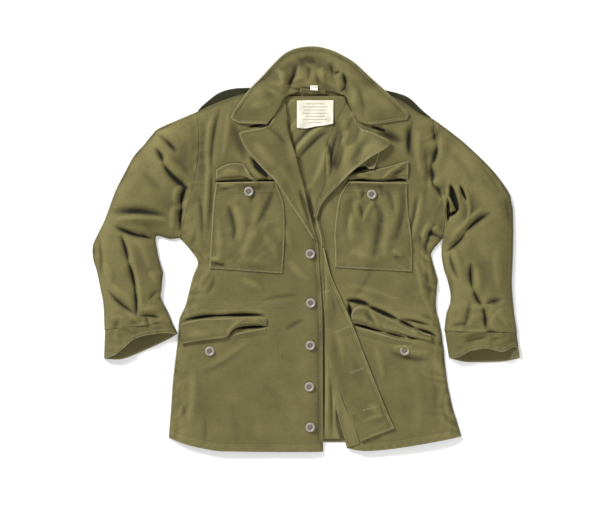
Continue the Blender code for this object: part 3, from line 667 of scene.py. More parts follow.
# The creases of the sleeves, whose bunched cloth runs on across the armholes
SLEEVE_RIGHT_CREASES = [
    (-316, 668, -272, 626, 4, 8, -5, 1.5), (-302, 676, -262, 640, 4, 9, 2.5, 2),
    (-318, 640, -300, 604, 3, 7, -5.5, 1.4), (-302, 608, -247, 552, -5, 7, -6, 1.4),
    (-296, 622, -246, 570, -6, 8, 4.5, 1.7), (-249, 560, -262, 515, -6, 7, -7, 1.3),
    (-262, 560, -274, 520, -5, 7, 3.5, 1.7), (-261, 524, -265, 458, -2, 6, -7, 1.3),
    (-276, 520, -280, 462, -2, 8, 3, 2), (-404, 484, -292, 482, 7, 7, 6.5, 1.5),
    (-402, 474, -315, 448, -5, 7, -8, 1.3), (-415, 504, -292, 496, 5, 11, -4.5, 2),
    (-350, 462, -316, 444, -2, 5, -4, 1.3), (-391, 458, -373, 395, 3, 6, -6.5, 1.3),
    (-374, 400, -359, 335, 3, 6, -8, 1.2), (-360, 345, -357, 284, 2, 6, -7, 1.2),
    (-378, 450, -350, 340, 4, 8, 4.5, 1.7), (-350, 350, -348, 290, 2, 7, 4, 1.7),
    (-419, 342, -358, 290, -4, 6, -5.5, 1.3), (-410, 356, -350, 304, -4, 8, 3, 1.8),
    (-350, 286, -305, 280, 3, 5, -5, 1.3), (-350, 298, -305, 292, 3, 6, 3.5, 1.6),
    (-392, 284, -408, 222, -4, 7, -3.5, 1.6), (-330, 318, -306, 341, 3, 6, -4, 1.4),
    (-438, 458, -432, 361, 4, 5, -3.5, 1.4), (-351, 447, -327, 380, 4, 10, 2.5, 2),
    (-400, 620, -330, 560, 6, 14, 2, 2), (-372, 590, -300, 540, 8, 12, -1.8, 2),
    (-425, 400, -412, 350, 3, 7, 2.5, 2), (-330, 380, -312, 350, 3, 7, 2.5, 1.8)]
SLEEVE_LEFT_CREASES = [
    (302, 562, 319, 504, 0, 6.4, -16, 3), (297, 532, 298, 484, 0, 4.6, -14, 3),
    (296, 494, 318, 507, 0, 4.2, -12, 3), (322, 561, 338, 526, 0, 3.2, -10, 2),
    (296, 538, 312, 508, 0, 2.4, 7, 2), (314, 558, 324, 518, 0, 3, 4, 2),
    (325, 566, 338, 482, 9, 4, 4.5, 1.8), (300, 558, 294, 482, -4, 3, 3.5, 1.8),
    (270, 692, 276, 645, -4, 7, -5, 1.4), (275, 650, 261, 600, 4, 7, -7, 1.3),
    (261, 606, 265, 556, 2, 6, -7.5, 1.2), (263, 564, 284, 534, 4, 6, -6, 1.3),
    (284, 660, 274, 600, 4, 9, 4, 1.8), (290, 418, 335, 462, -4, 6, -7, 1.3),
    (330, 458, 390, 503, 5, 7, -4.5, 1.5), (296, 436, 370, 512, 3, 7, 4.5, 1.6),
    (301, 420, 321, 360, -4, 6, -5, 1.4), (310, 424, 332, 370, -4, 7, 4, 1.7),
    (345, 400, 350, 338, -3, 6, -6.5, 1.3), (350, 344, 370, 305, -3, 6, -6, 1.3),
    (369, 310, 376, 256, 2, 6, -5, 1.4), (358, 390, 366, 330, -3, 8, 4, 1.8),
    (373, 308, 414, 320, 3, 7, -4, 1.6), (343, 320, 327, 254, 3, 7, -3.5, 1.6),
    (417, 535, 426, 475, 3, 6, -3, 1.5), (327, 642, 408, 538, 6, 5, -2.2, 1.5),
    (318, 650, 400, 546, 6, 7, 2, 2), (396, 426, 402, 338, 3, 11, 2.5, 2),
    (296, 384, 306, 318, 3, 6, -3.5, 1.5), (345, 560, 405, 500, 6, 13, 2, 2),
    (305, 624, 350, 560, 6, 12, -1.8, 2), (395, 300, 424, 262, 4, 8, 2.5, 2)]
CUFF_CREASES = [
    (-400, 246, -382, 229, 3, 4, -3, 1.4), (-388, 261, -365, 238, 3, 5, -3.5, 1.4),
    (-378, 262, -356, 244, 3, 5, 2.5, 1.6), (-341, 261, -289, 273, 3, 5, -3, 1.4),
    (-336, 244, -283, 249, 3, 5, -2.6, 1.4), (-338, 284, -330, 255, 2, 4, -3, 1.4),
    (-350, 268, -300, 262, 3, 5, 2.4, 1.8), (-420, 262, -398, 214, -3, 6, -2.4, 1.6),
    (-412, 280, -380, 276, 3, 5, 2.2, 1.6), (-374, 290, -350, 270, 2, 4, 2.2, 1.6),
    (318, 240, 377, 253, 4, 5, 4, 1.5), (330, 228, 384, 240, 5, 5, -3.5, 1.4),
    (375, 252, 412, 248, 2, 5, -3.5, 1.4), (383, 236, 424, 231, 2, 5, -3.5, 1.4),
    (392, 226, 436, 236, 3, 5, 3, 1.6), (340, 236, 352, 214, 3, 6, -2, 1.6),
    (300, 262, 340, 268, 3, 5, -2.4, 1.5), (306, 226, 330, 216, 2, 5, 2.2, 1.6)]
# Lines of stitches across each front at the waist, and down the right one beside its facing
STITCHED_RIGHT = [
    [(-222, 319), (-160, 317), (-66, 316)], [(-249, 301), (-150, 297), (-60, 299), (30, 303)],
    [(-61, 300), (-58, 240), (-54, 185)]]
STITCHED_LEFT = [[(138, 326), (200, 324), (270, 322)], [(116, 300), (226, 294), (273, 293)]]


def crumple(grid, seed, size, height):
    """Sharp small creases: folded waves bent by broader ones, about size mm apart."""
    rng = np.random.default_rng(seed)
    bent = grid + np.stack([ripple(grid, seed + 7, 2.2 * size, 0.5 * size),
                            ripple(grid, seed + 8, 2.2 * size, 0.5 * size)], -1)
    total = np.zeros(grid.shape[:-1])
    for _ in range(4):
        turn, phase = rng.uniform(0, 2 * math.pi, 2)
        way = np.array([math.cos(turn), math.sin(turn)]) / (size * rng.uniform(0.8, 1.6))
        total += 1 - 2 * np.abs(np.sin(math.pi * (bent @ way) + phase))
    return height * total / 2.5


def pucker(grid, line, seed, reach, height, length=13.0):
    """Small puckers that a line of stitches pulls into the cloth beside it."""
    away, _ = to_line(grid, line)
    return np.exp(-(away / reach) ** 2) * ripple(grid, seed, length, height)


def arch(share):
    """Quarter ellipse from 0 at a folded edge to 1."""
    return np.sqrt(np.clip(1 - (1 - np.clip(share, 0, 1)) ** 2, 0, 1))


def crown(grid, creases, sleeve=False):
    """Underside of the upper layer: it rises from its folded edges and carries its creases."""
    away = edge_distance(grid, *FOLDS)
    worked = CREASE_DEPTH * strokes(grid, creases)
    if not sleeve:
        return LEAST_RISE + (BODY_RISE + worked) * arch(away / BODY_REACH)
    blend = edge_distance(grid, armhole_right[::6], armhole_left[::6])
    blend = np.clip(blend / SLEEVE_BLEND, 0, 1)
    blend = blend * blend * (3 - 2 * blend)
    rise = BODY_RISE + (SLEEVE_RISE - BODY_RISE) * blend
    reach = BODY_REACH + (SLEEVE_REACH - BODY_REACH) * blend
    return LEAST_RISE + (rise + worked) * arch(away / reach)


def seam_line(grid, line, seed, depth=0.35):
    """A stitched line: a groove with small puckers along it."""
    away, _ = to_line(grid, line)
    return pucker(grid, line, seed, 7.0, 0.25) - depth * np.exp(-(away / 2.0) ** 2)


# The crumples of an armhole run on from the front into the sleeve, so both make them alike.
ARMHOLE_SEED = 150
ARMHOLE_REACH = 26


def armhole_crumple(grid, away):
    """Crumples that run across an armhole, fading at some distance from it."""
    return crumple(grid, ARMHOLE_SEED, 24, 0.8) * np.exp(-(away / ARMHOLE_REACH) ** 2)


thread = new_material("olive thread", {"Roughness": 0.6})
tree = thread.node_tree
at = add(tree, "ShaderNodeTexCoord", {}).outputs["Object"]
strands = add(tree, "ShaderNodeTexNoise", {"Vector": at, "Scale": 1500.0})
tint = add(tree, "ShaderNodeMix", {
    "Factor": strands.outputs["Fac"], "A": (0.260, 0.236, 0.120, 1), "B": (0.360, 0.330, 0.185, 1)},
    data_type="RGBA")
wire(tree.nodes["Principled BSDF"], {"Base Color": tint.outputs["Result"]})


def rods(name, pairs, radius, sides=4):
    """Short rods of thread between pairs of points, thicker in the middle, as one mesh."""
    points = []
    faces = []
    for start, end in pairs:
        start, end = Vector(start), Vector(end)
        way = (end - start).normalized()
        across = way.cross(Vector((0, 0, 1))).normalized()
        up = across.cross(way)
        base = len(points)
        for part, swell in ((0.0, 0.45), (0.5, 1.0), (1.0, 0.45)):
            centre = start.lerp(end, part)
            for side in range(sides):
                turn = 2 * math.pi * (side + 0.5) / sides
                points.append(centre + radius * swell * (math.cos(turn) * across + math.sin(turn) * up))
        for ring in (0, 1):
            for side in range(sides):
                after = (side + 1) % sides
                low = base + ring * sides
                faces.append((low + side, low + sides + side, low + sides + after, low + after))
        faces.append(tuple(base + side for side in range(sides)))
        faces.append(tuple(base + 2 * sides + side for side in reversed(range(sides))))
    smooth_piece(name, [tuple(point * MM) for point in points], faces, thread)


def heights_at(points, grid, tops):
    """Height of a sheet at scattered points, from its four nearest grid points."""
    spots = grid.reshape(-1, 2)
    levels = tops.ravel()
    found = np.empty(len(points))
    for index, point in enumerate(points):
        away = ((spots - point) ** 2).sum(axis=1)
        near = np.argpartition(away, 4)[:4]
        share = 1 / (away[near] + 0.05)
        found[index] = (levels[near] * share).sum() / share.sum()
    return found


def inset(grid, side, distance):
    """Line that runs inside one of a grid's four edges, at a distance."""
    edge, inner = {"first": (grid[:, 0], grid[:, 1]), "last": (grid[:, -1], grid[:, -2]),
                   "bottom": (grid[0], grid[1]), "top": (grid[-1], grid[-2])}[side]
    way = inner - edge
    return edge + distance * way / np.maximum(np.hypot(*way.T), 1e-6)[:, None]


HEM_WIDTH = 15.0
EDGE_STITCH = 6.0
STITCH_PITCH = 3.2
STITCH_LENGTH = 2.3
STITCH_RADIUS = 0.34
STITCH_HEIGHT = 0.15


def stitches(name, lines, grid, tops):
    """Lock stitches along lines on a sheet, as one mesh of short thread rods."""
    pairs = []
    for line in lines:
        line = np.asarray(line, float)
        run = np.concatenate([[0], np.cumsum(np.hypot(*np.diff(line, axis=0).T))])
        starts = np.arange(2.0, run[-1] - STITCH_LENGTH, STITCH_PITCH)
        spots = np.concatenate([starts, starts + STITCH_LENGTH])
        places = np.stack([np.interp(spots, run, line[:, 0]), np.interp(spots, run, line[:, 1])], -1)
        levels = heights_at(places, grid, tops) + STITCH_HEIGHT
        ends = np.column_stack([places - MIDDLE, levels])
        pairs += list(zip(ends[:len(starts)], ends[len(starts):]))
    rods(f"stitches_{name}", pairs, STITCH_RADIUS)


def front_panel(node, side, armhole, edge, roll, hem, shoulder, columns, creases, stitched, seed):
    """A front from its side seam and armhole to its front edge and roll line."""
    outer = np.vstack([side, armhole[1:]])
    inner = np.vstack([smooth(edge, SIDE_ROWS), smooth(roll, ARMHOLE_ROWS)[1:]])
    grid = bend_ends(across_grid(outer, inner, columns), hem, shoulder)
    heights = np.maximum(crown(grid, creases), lying(grid, 2))
    armhole_away = to_line(grid, armhole)[0]
    inside = np.clip(to_line(grid, inner)[0] / 30, 0, 1) * np.clip(armhole_away / 25, 0, 1)
    heights += inside * (ripple(grid, seed, 130, 0.9) + ripple(grid, seed + 1, 42, 0.25))
    hem_away = to_line(grid, grid[0])[0]
    edge_away = to_line(grid, grid[:, -1])[0]
    side_away = to_line(grid, np.array(side))[0]
    heights += hemmed(hem_away, HEM_WIDTH, 0.6) + hemmed(edge_away, EDGE_STITCH, 0.5)
    heights += pucker(grid, grid[0], seed + 2, 14, 0.5, 20) + pucker(grid, side, seed + 3, 9, 0.5, 16)
    heights += crumple(grid, seed + 6, 26, 1.3) * np.exp(-(side_away / 34) ** 2)
    heights += armhole_crumple(grid, armhole_away)
    for line in stitched:
        heights += seam_line(grid, line, seed + 5)
    heights = np.maximum(heights, lying(grid, 0))
    away = np.minimum(np.minimum(hem_away, edge_away), side_away)
    piece = cloth_object(node + "_panel", grid, heights, CLOTH, sateen, node, away)
    lines = [inset(grid, "bottom", HEM_WIDTH), inset(grid, "last", EDGE_STITCH)[:SIDE_ROWS]]
    stitches(node, lines + [smooth(line, 40) for line in stitched], grid, heights + CLOTH)
    return piece


front_right = front_panel(
    "front_right", side_right, armhole_right, EDGE_RIGHT, ROLL_RIGHT, HEM_RIGHT, SHOULDER_RIGHT, 120,
    FRONT_RIGHT_CREASES + SLEEVE_RIGHT_CREASES + POCKET_DENTS_RIGHT, STITCHED_RIGHT, 11)
front_left = front_panel(
    "front_left", side_left, armhole_left, EDGE_LEFT, ROLL_LEFT, HEM_LEFT, SHOULDER_LEFT, 100,
    FRONT_LEFT_CREASES + SLEEVE_LEFT_CREASES + POCKET_DENTS_LEFT, STITCHED_LEFT, 31)

# ---- Top sleeves ---------------------------------------------------------------------------
# The top panel of each sleeve arches over the under panel. Cloth bunches at the armhole, in
# the bend of the elbow and in one long pleat down the forearm.
TOP_ROWS, TOP_COLUMNS = 200, 72
for side, table, armhole, away, creases, seed, area in (
        ("right", SLEEVE_RIGHT, armhole_right, -ARMHOLE_GAP,
         FRONT_RIGHT_CREASES + SLEEVE_RIGHT_CREASES + CUFF_CREASES, 51, 0.067),
        ("left", SLEEVE_LEFT, armhole_left, ARMHOLE_GAP,
         FRONT_LEFT_CREASES + SLEEVE_LEFT_CREASES + CUFF_CREASES, 71, 0.065)):
    grid, outer, inner = sleeve_grid(table, armhole, away, TOP_ROWS, TOP_COLUMNS)
    heights = crown(grid, creases, sleeve=True)
    fold_away = edge_distance(grid, outer, inner)
    soft = np.clip(fold_away / 30, 0, 1)
    armhole_away = to_line(grid, armhole)[0]
    soft *= np.clip(armhole_away / 25, 0, 1)
    heights += soft * (ripple(grid, seed, 110, 1.3) + ripple(grid, seed + 1, 38, 0.35))
    heights += armhole_crumple(grid, armhole_away)
    low = np.clip(1 - to_line(grid, grid[-1])[0] / 90, 0, 1)
    heights += crumple(grid, seed + 5, 32, 1.7) * soft * low
    seam = outer + (inner - outer) * 0.075
    heights += soft * seam_line(grid, seam, seed + 3, 0.8)
    heights = np.maximum(heights, LEAST_RISE)
    top = cloth_object(f"top_sleeve_{side}", grid, heights, CLOTH, sateen,
                       f"sleeve_{side}_top", fold_away)

# ---- Cuffs ---------------------------------------------------------------------------------
# Each cuff is a band round the end of its sleeve, open at the mouth. Its under side lies on
# the floor and reaches further than the upper side, so its inside shows.
# mouth_x, mouth_y from the outer fold to the inner fold
CUFF_RIGHT_UPPER = [(-426, 195), (-403, 204), (-384, 218), (-366, 234), (-342, 244),
                    (-301, 250), (-271, 248)]
CUFF_RIGHT_LOWER = [(-426, 195), (-393, 194), (-366, 202), (-325, 220), (-293, 235), (-271, 248)]
CUFF_LEFT_UPPER = [(449, 197), (440, 221), (411, 211), (377, 218), (345, 213), (320, 200), (300, 197)]
CUFF_LEFT_LOWER = [(449, 197), (434, 193), (407, 189), (365, 188), (331, 189), (300, 197)]
CUFF_ROWS, CUFF_COLUMNS = 26, 70
CUFF_HEM = 8.0
CUFF_LOWEST = 2.4
for side, table, upper, lower, creases, seed in (
        ("right", SLEEVE_RIGHT, CUFF_RIGHT_UPPER, CUFF_RIGHT_LOWER, SLEEVE_RIGHT_CREASES, 91),
        ("left", SLEEVE_LEFT, CUFF_LEFT_UPPER, CUFF_LEFT_LOWER, SLEEVE_LEFT_CREASES, 95)):
    ends = np.array([table[-1][:2], table[-1][2:]], float) - [0, 0.1]
    start = ends[0] + (ends[1] - ends[0]) * np.linspace(0, 1, CUFF_COLUMNS)[:, None]
    along = np.linspace(0, 1, CUFF_ROWS)[:, None, None]
    upper_grid = start[None] * (1 - along) + smooth(upper, CUFF_COLUMNS)[None] * along
    lower_grid = start[None] * (1 - along) + smooth(lower, CUFF_COLUMNS)[None] * along
    mouth = to_line(upper_grid, upper_grid[-1])[0]
    tops = crown(upper_grid, CUFF_CREASES + creases, sleeve=True) + ripple(upper_grid, seed, 34, 0.5)
    tops += crumple(upper_grid, seed + 5, 30, 1.3) + hemmed(mouth, CUFF_HEM, 0.7)
    tops += pucker(upper_grid, upper_grid[-1], seed + 1, 10, 0.9, 14)
    tops = np.maximum(tops, CUFF_LOWEST) + CLOTH
    ring_grid = np.concatenate([upper_grid, lower_grid[:, ::-1]], axis=1)
    ring_tops = np.concatenate([tops, np.zeros_like(tops)], axis=1)
    count = 2 * CUFF_COLUMNS
    points = np.dstack([(ring_grid - MIDDLE) * MM, ring_tops * MM]).reshape(-1, 3)
    faces = [(row * count + spot, row * count + (spot + 1) % count,
              (row + 1) * count + (spot + 1) % count, (row + 1) * count + spot)
             for row in range(CUFF_ROWS - 1) for spot in range(count)]
    band = smooth_piece(f"cuff_band_{side}", points.tolist(), faces, sateen)
    facing_out = bmesh.new()
    facing_out.from_mesh(band.data)
    bmesh.ops.recalc_face_normals(facing_out, faces=facing_out.faces[:])
    facing_out.to_mesh(band.data)
    facing_out.free()
    thicken(band, CLOTH, -1.0, f"cuff_{side}",
            {"edge": np.concatenate([mouth, mouth[:, ::-1]], axis=1)})
    heap(lower_grid, np.full(lower_grid.shape[:2], CLOTH))
    heap(upper_grid, tops)
    stitches(f"cuff_{side}", [inset(upper_grid, "top", CUFF_HEM)], upper_grid, tops)

# ---- Pocket flaps --------------------------------------------------------------------------
# Each pocket is closed by a flap of doubled sateen sewn on above its mouth. All four are
# tucked into their pockets, so each humps over and dives behind the pocket's edge.
DOUBLED = 2.0
# sewn_x, sewn_y, tucked_x, tucked_y
CHEST_FLAP_RIGHT = [
    (-189, 592, -189, 570), (-169, 603, -169, 572), (-148, 606, -148, 574),
    (-134, 603, -134, 575), (-125, 592, -125, 575), (-117, 579, -117, 572), (-108, 570, -107, 567)]
CHEST_FLAP_LEFT = [
    (90, 577, 90, 572), (103, 584, 103, 574), (118, 584, 118, 575), (132, 588, 132, 572),
    (154, 594, 154, 569), (175, 599, 172, 572), (195, 605, 195, 576), (214, 611, 213, 574)]
HIP_FLAP_RIGHT = [
    (-264, 268, -264, 227), (-231, 277, -226, 234), (-201, 279, -193, 238),
    (-172, 280, -169, 242), (-152, 281, -155, 258), (-129, 282, -131, 268),
    (-106, 282, -106, 268), (-84, 281, -86, 266)]
HIP_FLAP_LEFT = [
    (95, 288, 95, 278), (100, 300, 100, 273), (111, 306, 111, 270), (124, 304, 124, 267),
    (138, 296, 138, 262), (160, 285, 160, 256), (190, 271, 186, 252), (216, 257, 207, 247),
    (262, 246, 262, 232)]
FLAP_ROWS, FLAP_COLUMNS = 90, 24
FLAP_STITCH = 5.0
WORKED_EDGES = {"hip_flap_right": (0, 1, 3), "hip_flap_left": (0, 1, 2)}
FLAP_CREASES = {
    "chest_flap_right": [(-128, 600, -108, 570, -4, 4, 2.6, 1.5), (-180, 584, -140, 588, 2, 7, 1.4, 2)],
    "chest_flap_left": [(160, 572, 213, 609, 3, 4, 3.4, 1.4), (172, 572, 212, 596, 2, 6, -2.4, 1.6),
                        (92, 578, 136, 571, 6, 3.5, 2.6, 1.5)],
    "hip_flap_right": [(-168, 243, -126, 280, 5, 4, 2.8, 1.4), (-140, 262, -90, 262, 0, 4, -2.2, 1.6),
                       (-130, 277, -86, 276, 0, 5, 1.8, 1.8), (-250, 240, -200, 250, 2, 10, 1.6, 2)],
    "hip_flap_left": [(133, 299, 161, 254, 0, 3.5, 3.2, 1.3), (122, 296, 148, 262, 0, 7, -2.6, 1.7),
                      (97, 290, 128, 300, 8, 5, 1.8, 1.7), (214, 258, 262, 246, 3, 5, 2.6, 1.5),
                      (196, 272, 230, 254, 0, 3, -4.5, 1.5),
                      (226, 255, 262, 241, 0, 2.6, -4.5, 1.5)]}
for index, (name, table, hump, flat, area) in enumerate((
        ("chest_flap_right", CHEST_FLAP_RIGHT, 3.6, (0.12, 0.06), 0.0022),
        ("chest_flap_left", CHEST_FLAP_LEFT, 3.6, (0.13, 0.06), 0.0036),
        ("hip_flap_right", HIP_FLAP_RIGHT, 4.2, (0.19, 0.06), 0.0065),
        ("hip_flap_left", HIP_FLAP_LEFT, 4.2, (0.18, 0.06), 0.0046))):
    grid = table_grid(table, FLAP_ROWS, FLAP_COLUMNS, 4.0)
    down = np.linspace(0, 1, FLAP_COLUMNS)[None, :]
    ends = np.sin(np.pi * np.linspace(0.04, 0.96, FLAP_ROWS))[:, None] ** 0.4
    over = lying(grid, 4) + hump * ends * np.sin(np.pi * np.clip(0.12 + 0.62 * down, 0, 1)) ** 0.8
    away = edge_distance(grid, *[rim(grid)[side] for side in WORKED_EDGES.get(name, (0, 1, 2, 3))])
    heights = over + 1.4 * strokes(grid, FLAP_CREASES[name]) + hemmed(away, FLAP_STITCH, 0.4)
    heights += ripple(grid, 200 + index, 26, 0.3)
    dive = np.clip((down - 0.72) / 0.28, 0, 1) ** 1.6
    tuck = 7.0 * dive * (1.0 if "chest" in name else np.clip((grid[..., 0] + 170) / 20, 0, 1))
    heights = np.maximum(heights - tuck, sampled(pile, grid) + GAP)
    flap = cloth_object(name + "_cloth", grid, heights, DOUBLED, sateen, name, away)
    stitches(name, [inset(grid, "first", FLAP_STITCH)], grid, heights + DOUBLED)

# ---- Pockets -------------------------------------------------------------------------------
# Chest pockets are patches stitched down on three sides with a deep hem at the mouth. The hip
# pockets hang inside, and only the turned lip of each mouth shows.
CHEST_POCKET_RIGHT = [
    (-204, 386, -51, 375), (-202, 424, -48, 414), (-198, 483, -46, 462),
    (-195, 529, -48, 519), (-191, 556, -60, 556), (-190, 566, -64, 568)]
CHEST_POCKET_LEFT = [
    (60, 388, 221, 379), (60, 424, 222, 420), (59, 462, 219, 462),
    (67, 527, 213, 506), (80, 556, 211, 550), (88, 568, 211, 565)]
HIP_LIP_RIGHT = [(-164, 238, -160, 224), (-148, 249, -145, 236), (-129, 253, -127, 240),
                 (-106, 257, -104, 244), (-84, 261, -82, 248)]
HIP_LIP_LEFT = [(100, 264, 97, 250), (133, 255, 130, 241), (160, 247, 157, 233),
                (192, 238, 190, 226), (220, 233, 219, 228)]
# x, y, to x, y, bend, half width, height, edge
POCKET_CREASES_RIGHT = [
    (-168, 520, -154, 440, 8, 7, -2.4, 1.6), (-152, 520, -140, 440, 8, 9, 1.9, 2),
    (-68, 558, -121, 454, 6, 8, -2.4, 1.6), (-96, 530, -140, 400, 6, 10, 1.8, 2),
    (-190, 500, -184, 400, 3, 9, 1.4, 2), (-90, 460, -62, 400, 4, 10, 1.4, 2),
    (-150, 400, -70, 395, 3, 9, 1.2, 2), (-112, 560, -118, 520, 2, 5, -1.2, 1.6),
    (-190, 546, -160, 552, 2, 4, -1.6, 1.5), (-185, 556, -150, 560, 2, 5, 1.4, 2),
    (-204, 396, -170, 387, 3, 4, -7, 1.3), (-205, 404, -174, 397, 3, 4, 6, 1.5)]
POCKET_CREASES_LEFT = [
    (107, 524, 118, 487, 3, 5, -2.2, 1.4), (139, 529, 160, 477, 4, 6, -2.2, 1.4),
    (165, 552, 186, 487, 5, 6, -2, 1.5), (81, 529, 106, 477, 4, 6, -1.8, 1.5),
    (118, 478, 144, 528, 4, 5, 2.2, 1.5), (186, 412, 216, 384, 3, 6, -2.8, 1.4),
    (178, 424, 206, 404, 3, 6, 2.2, 1.6), (122, 552, 112, 530, 2, 4, -1.6, 1.5),
    (206, 560, 186, 440, 7, 8, -2.2, 1.6), (190, 560, 168, 440, 7, 9, 1.8, 2),
    (112, 532, 94, 440, -5, 8, 1.9, 1.8), (98, 540, 84, 460, -4, 7, -2, 1.6),
    (154, 520, 138, 400, 5, 9, -1.8, 1.8), (170, 510, 160, 400, 4, 10, 1.5, 2),
    (86, 420, 150, 400, 4, 9, 1.3, 2), (180, 410, 214, 396, 3, 7, -1.4, 1.6),
    (152, 566, 160, 530, 2, 5, -1.4, 1.6), (100, 560, 112, 530, 3, 6, 1.4, 2)]
POCKET_STITCH = 2.6
MOUTH_HEM = 22.0
for index, (side, table, creases, flat, area) in enumerate((
        ("right", CHEST_POCKET_RIGHT, POCKET_CREASES_RIGHT, (0.155, 0.19), 0.028),
        ("left", CHEST_POCKET_LEFT, POCKET_CREASES_LEFT, (0.163, 0.19), 0.0285))):
    grid = table_grid(table, 78, 64)
    away = edge_distance(grid, grid[:, 0], grid[:, -1], grid[0])
    mouth = to_line(grid, grid[-1])[0]
    heights = lying(grid, 2) + 1.5 * strokes(grid, creases) * np.clip(away / 16, 0, 1)
    heights += crumple(grid, 225 + index, 30, 0.45) * np.clip(away / 30, 0, 1)
    heights += 2.4 * np.clip(away / 45, 0, 1) + ripple(grid, 220 + index, 40, 0.35)
    heights += 2.2 * np.exp(-(mouth / 9) ** 2) * np.clip(away / 14, 0, 1)
    heights += hemmed(away, 4.0, 0.35) + hemmed(mouth, MOUTH_HEM, 0.4)
    heights += pucker(grid, np.vstack([grid[:, 0][::-1], grid[0], grid[:, -1]]), 230 + index, 8, 0.45, 12)
    heights = np.maximum(heights, clear(grid))
    node = f"chest_pocket_{side}"
    pocket = cloth_object(f"patch_pocket_{side}", grid, heights, CLOTH, sateen, node,
                          np.minimum(away, mouth))
    lines = [inset(grid, edge, POCKET_STITCH) for edge in ("first", "last", "bottom")]
    stitches(node, lines + [inset(grid, "top", MOUTH_HEM)], grid, heights + CLOTH)

LIP_ROWS, LIP_COLUMNS = 50, 12
LIP_STITCH = 3.0
LIP_SUNK = 1.45
for side, table, length in (("right", HIP_LIP_RIGHT, 0.085), ("left", HIP_LIP_LEFT, 0.13)):
    grid = table_grid(table, LIP_ROWS, LIP_COLUMNS, 2.0)
    ends = np.sin(np.pi * np.linspace(0.0, 1.0, LIP_ROWS))[:, None] ** 1.2
    lift = 4.4 * ends * np.linspace(1, 0, LIP_COLUMNS)[None, :] ** 1.5
    heights = sampled(pile, grid) - LIP_SUNK + lift
    lip = cloth_object(f"hip_lip_{side}", grid, heights, CLOTH, sateen, f"hip_welt_{side}",
                       to_line(grid, grid[:, 0])[0])
    stitches(f"hip_mouth_{side}", [inset(grid, "first", LIP_STITCH)], grid, heights + CLOTH)

# ---- Turned-back left edge -----------------------------------------------------------------
# From the waist down the left front edge is folded outwards. Its doubled facing shows, with
# four worked buttonholes and its stitched edge, and a strip of the poplin lining beside it.
FACING_LEFT = [
    (32, 430, 37, 428), (34, 372, 51, 372), (36, 319, 74, 319), (39, 277, 93, 277),
    (45, 210, 119, 210), (63, 146, 143, 149), (86, 87, 168, 87), (114, 23, 185, 50)]
LINING_STRIP = [
    (51, 176, 56, 174), (57, 134, 67, 134), (63, 90, 84, 88), (71, 58, 98, 64), (86, 9, 112, 17)]
FACING_CREASES = [
    (60, 260, 78, 180, 4, 7, 1.6, 1.8), (96, 200, 118, 130, 4, 8, -1.4, 1.8),
    (120, 110, 160, 70, 4, 8, 1.4, 2), (52, 330, 62, 280, 2, 5, -1.2, 1.7),
    (33, 450, 38, 300, 1, 3.2, -6, 2), (89, 74, 115, 65, 2, 4, -2.8, 1.4),
    (91, 100, 148, 102, 4, 6, -2.2, 1.6), (118, 62, 168, 78, 3, 5, 1.6, 1.8)]
grid = table_grid(LINING_STRIP, 70, 14, 1.0)
heights = lying(grid, 1)
strip = cloth_object("front_lining_strip", grid, heights, THIN, poplin, "lining_strip",
                     edge_distance(grid, *rim(grid)))

facing_grid = table_grid(FACING_LEFT, 190, 34, 5.0)
free_edge = facing_grid[:, -1]
away = edge_distance(facing_grid, free_edge, facing_grid[-1])
fold_away = to_line(facing_grid, np.array(EDGE_LEFT, float))[0]
heights = lying(facing_grid, 4) + strokes(facing_grid, FACING_CREASES)
heights += 2.6 * np.exp(-(fold_away / 12) ** 2) + 1.4 * np.clip(1 - away / 40, 0, 1)
heights += hemmed(away, EDGE_STITCH, 0.5) + ripple(facing_grid, 240, 48, 0.4)
heights += pucker(facing_grid, free_edge, 241, 8, 0.45, 15)
heights = np.maximum(heights, clear(facing_grid))
facing = cloth_object("facing_left_edge", facing_grid, heights, DOUBLED, sateen,
                      "facing_left", away)
stitches("facing_left", [inset(facing_grid, "last", EDGE_STITCH), [(111, 36), (162, 58)]], facing_grid,
         heights + DOUBLED)
BUTTONHOLE_RADIUS = 0.42
BUTTONHOLE_HEIGHT = 0.25
# x, y to x, y of each slit
BUTTONHOLES_FACING = [(34, 335, 49, 339), (60, 251, 90, 264), (91, 166, 120, 176), (119, 88, 148, 95)]


def buttonholes(name, slits, grid, tops):
    """Worked buttonholes: thread stitched close together across both sides of each slit."""
    pairs = []
    for x, y, end_x, end_y in slits:
        start, run = np.array([x, y], float), np.array([end_x - x, end_y - y], float)
        length = np.hypot(*run)
        across = np.array([-run[1], run[0]]) / length
        for step in np.linspace(0, 1, int(length / 1.0)):
            for side in (-1, 1):
                ends = np.array([start + run * step + across * side * away for away in (0.4, 2.0)])
                levels = heights_at(ends, grid, tops) + BUTTONHOLE_HEIGHT
                pairs.append(tuple(np.column_stack([ends - MIDDLE, levels])))
    rods(f"buttonholes_{name}", pairs, BUTTONHOLE_RADIUS)


buttonholes("facing", BUTTONHOLES_FACING, facing_grid, heights + DOUBLED)

# ---- Throat tab ----------------------------------------------------------------------------
# A small pointed tab of doubled cloth is sewn under the left lapel, to button the collar shut.
THROAT_TAB = [(133, 640, 155, 636), (123, 606, 146, 604), (131, 594, 141, 594)]
grid = table_grid(THROAT_TAB, 26, 14, 2.0)
away = edge_distance(grid, *rim(grid))
heights = lying(grid, 2) + 1.5 + hemmed(away, 4.0, 0.4)
tab = cloth_object("tab_under_lapel", grid, heights, DOUBLED, sateen, "throat_tab", away)

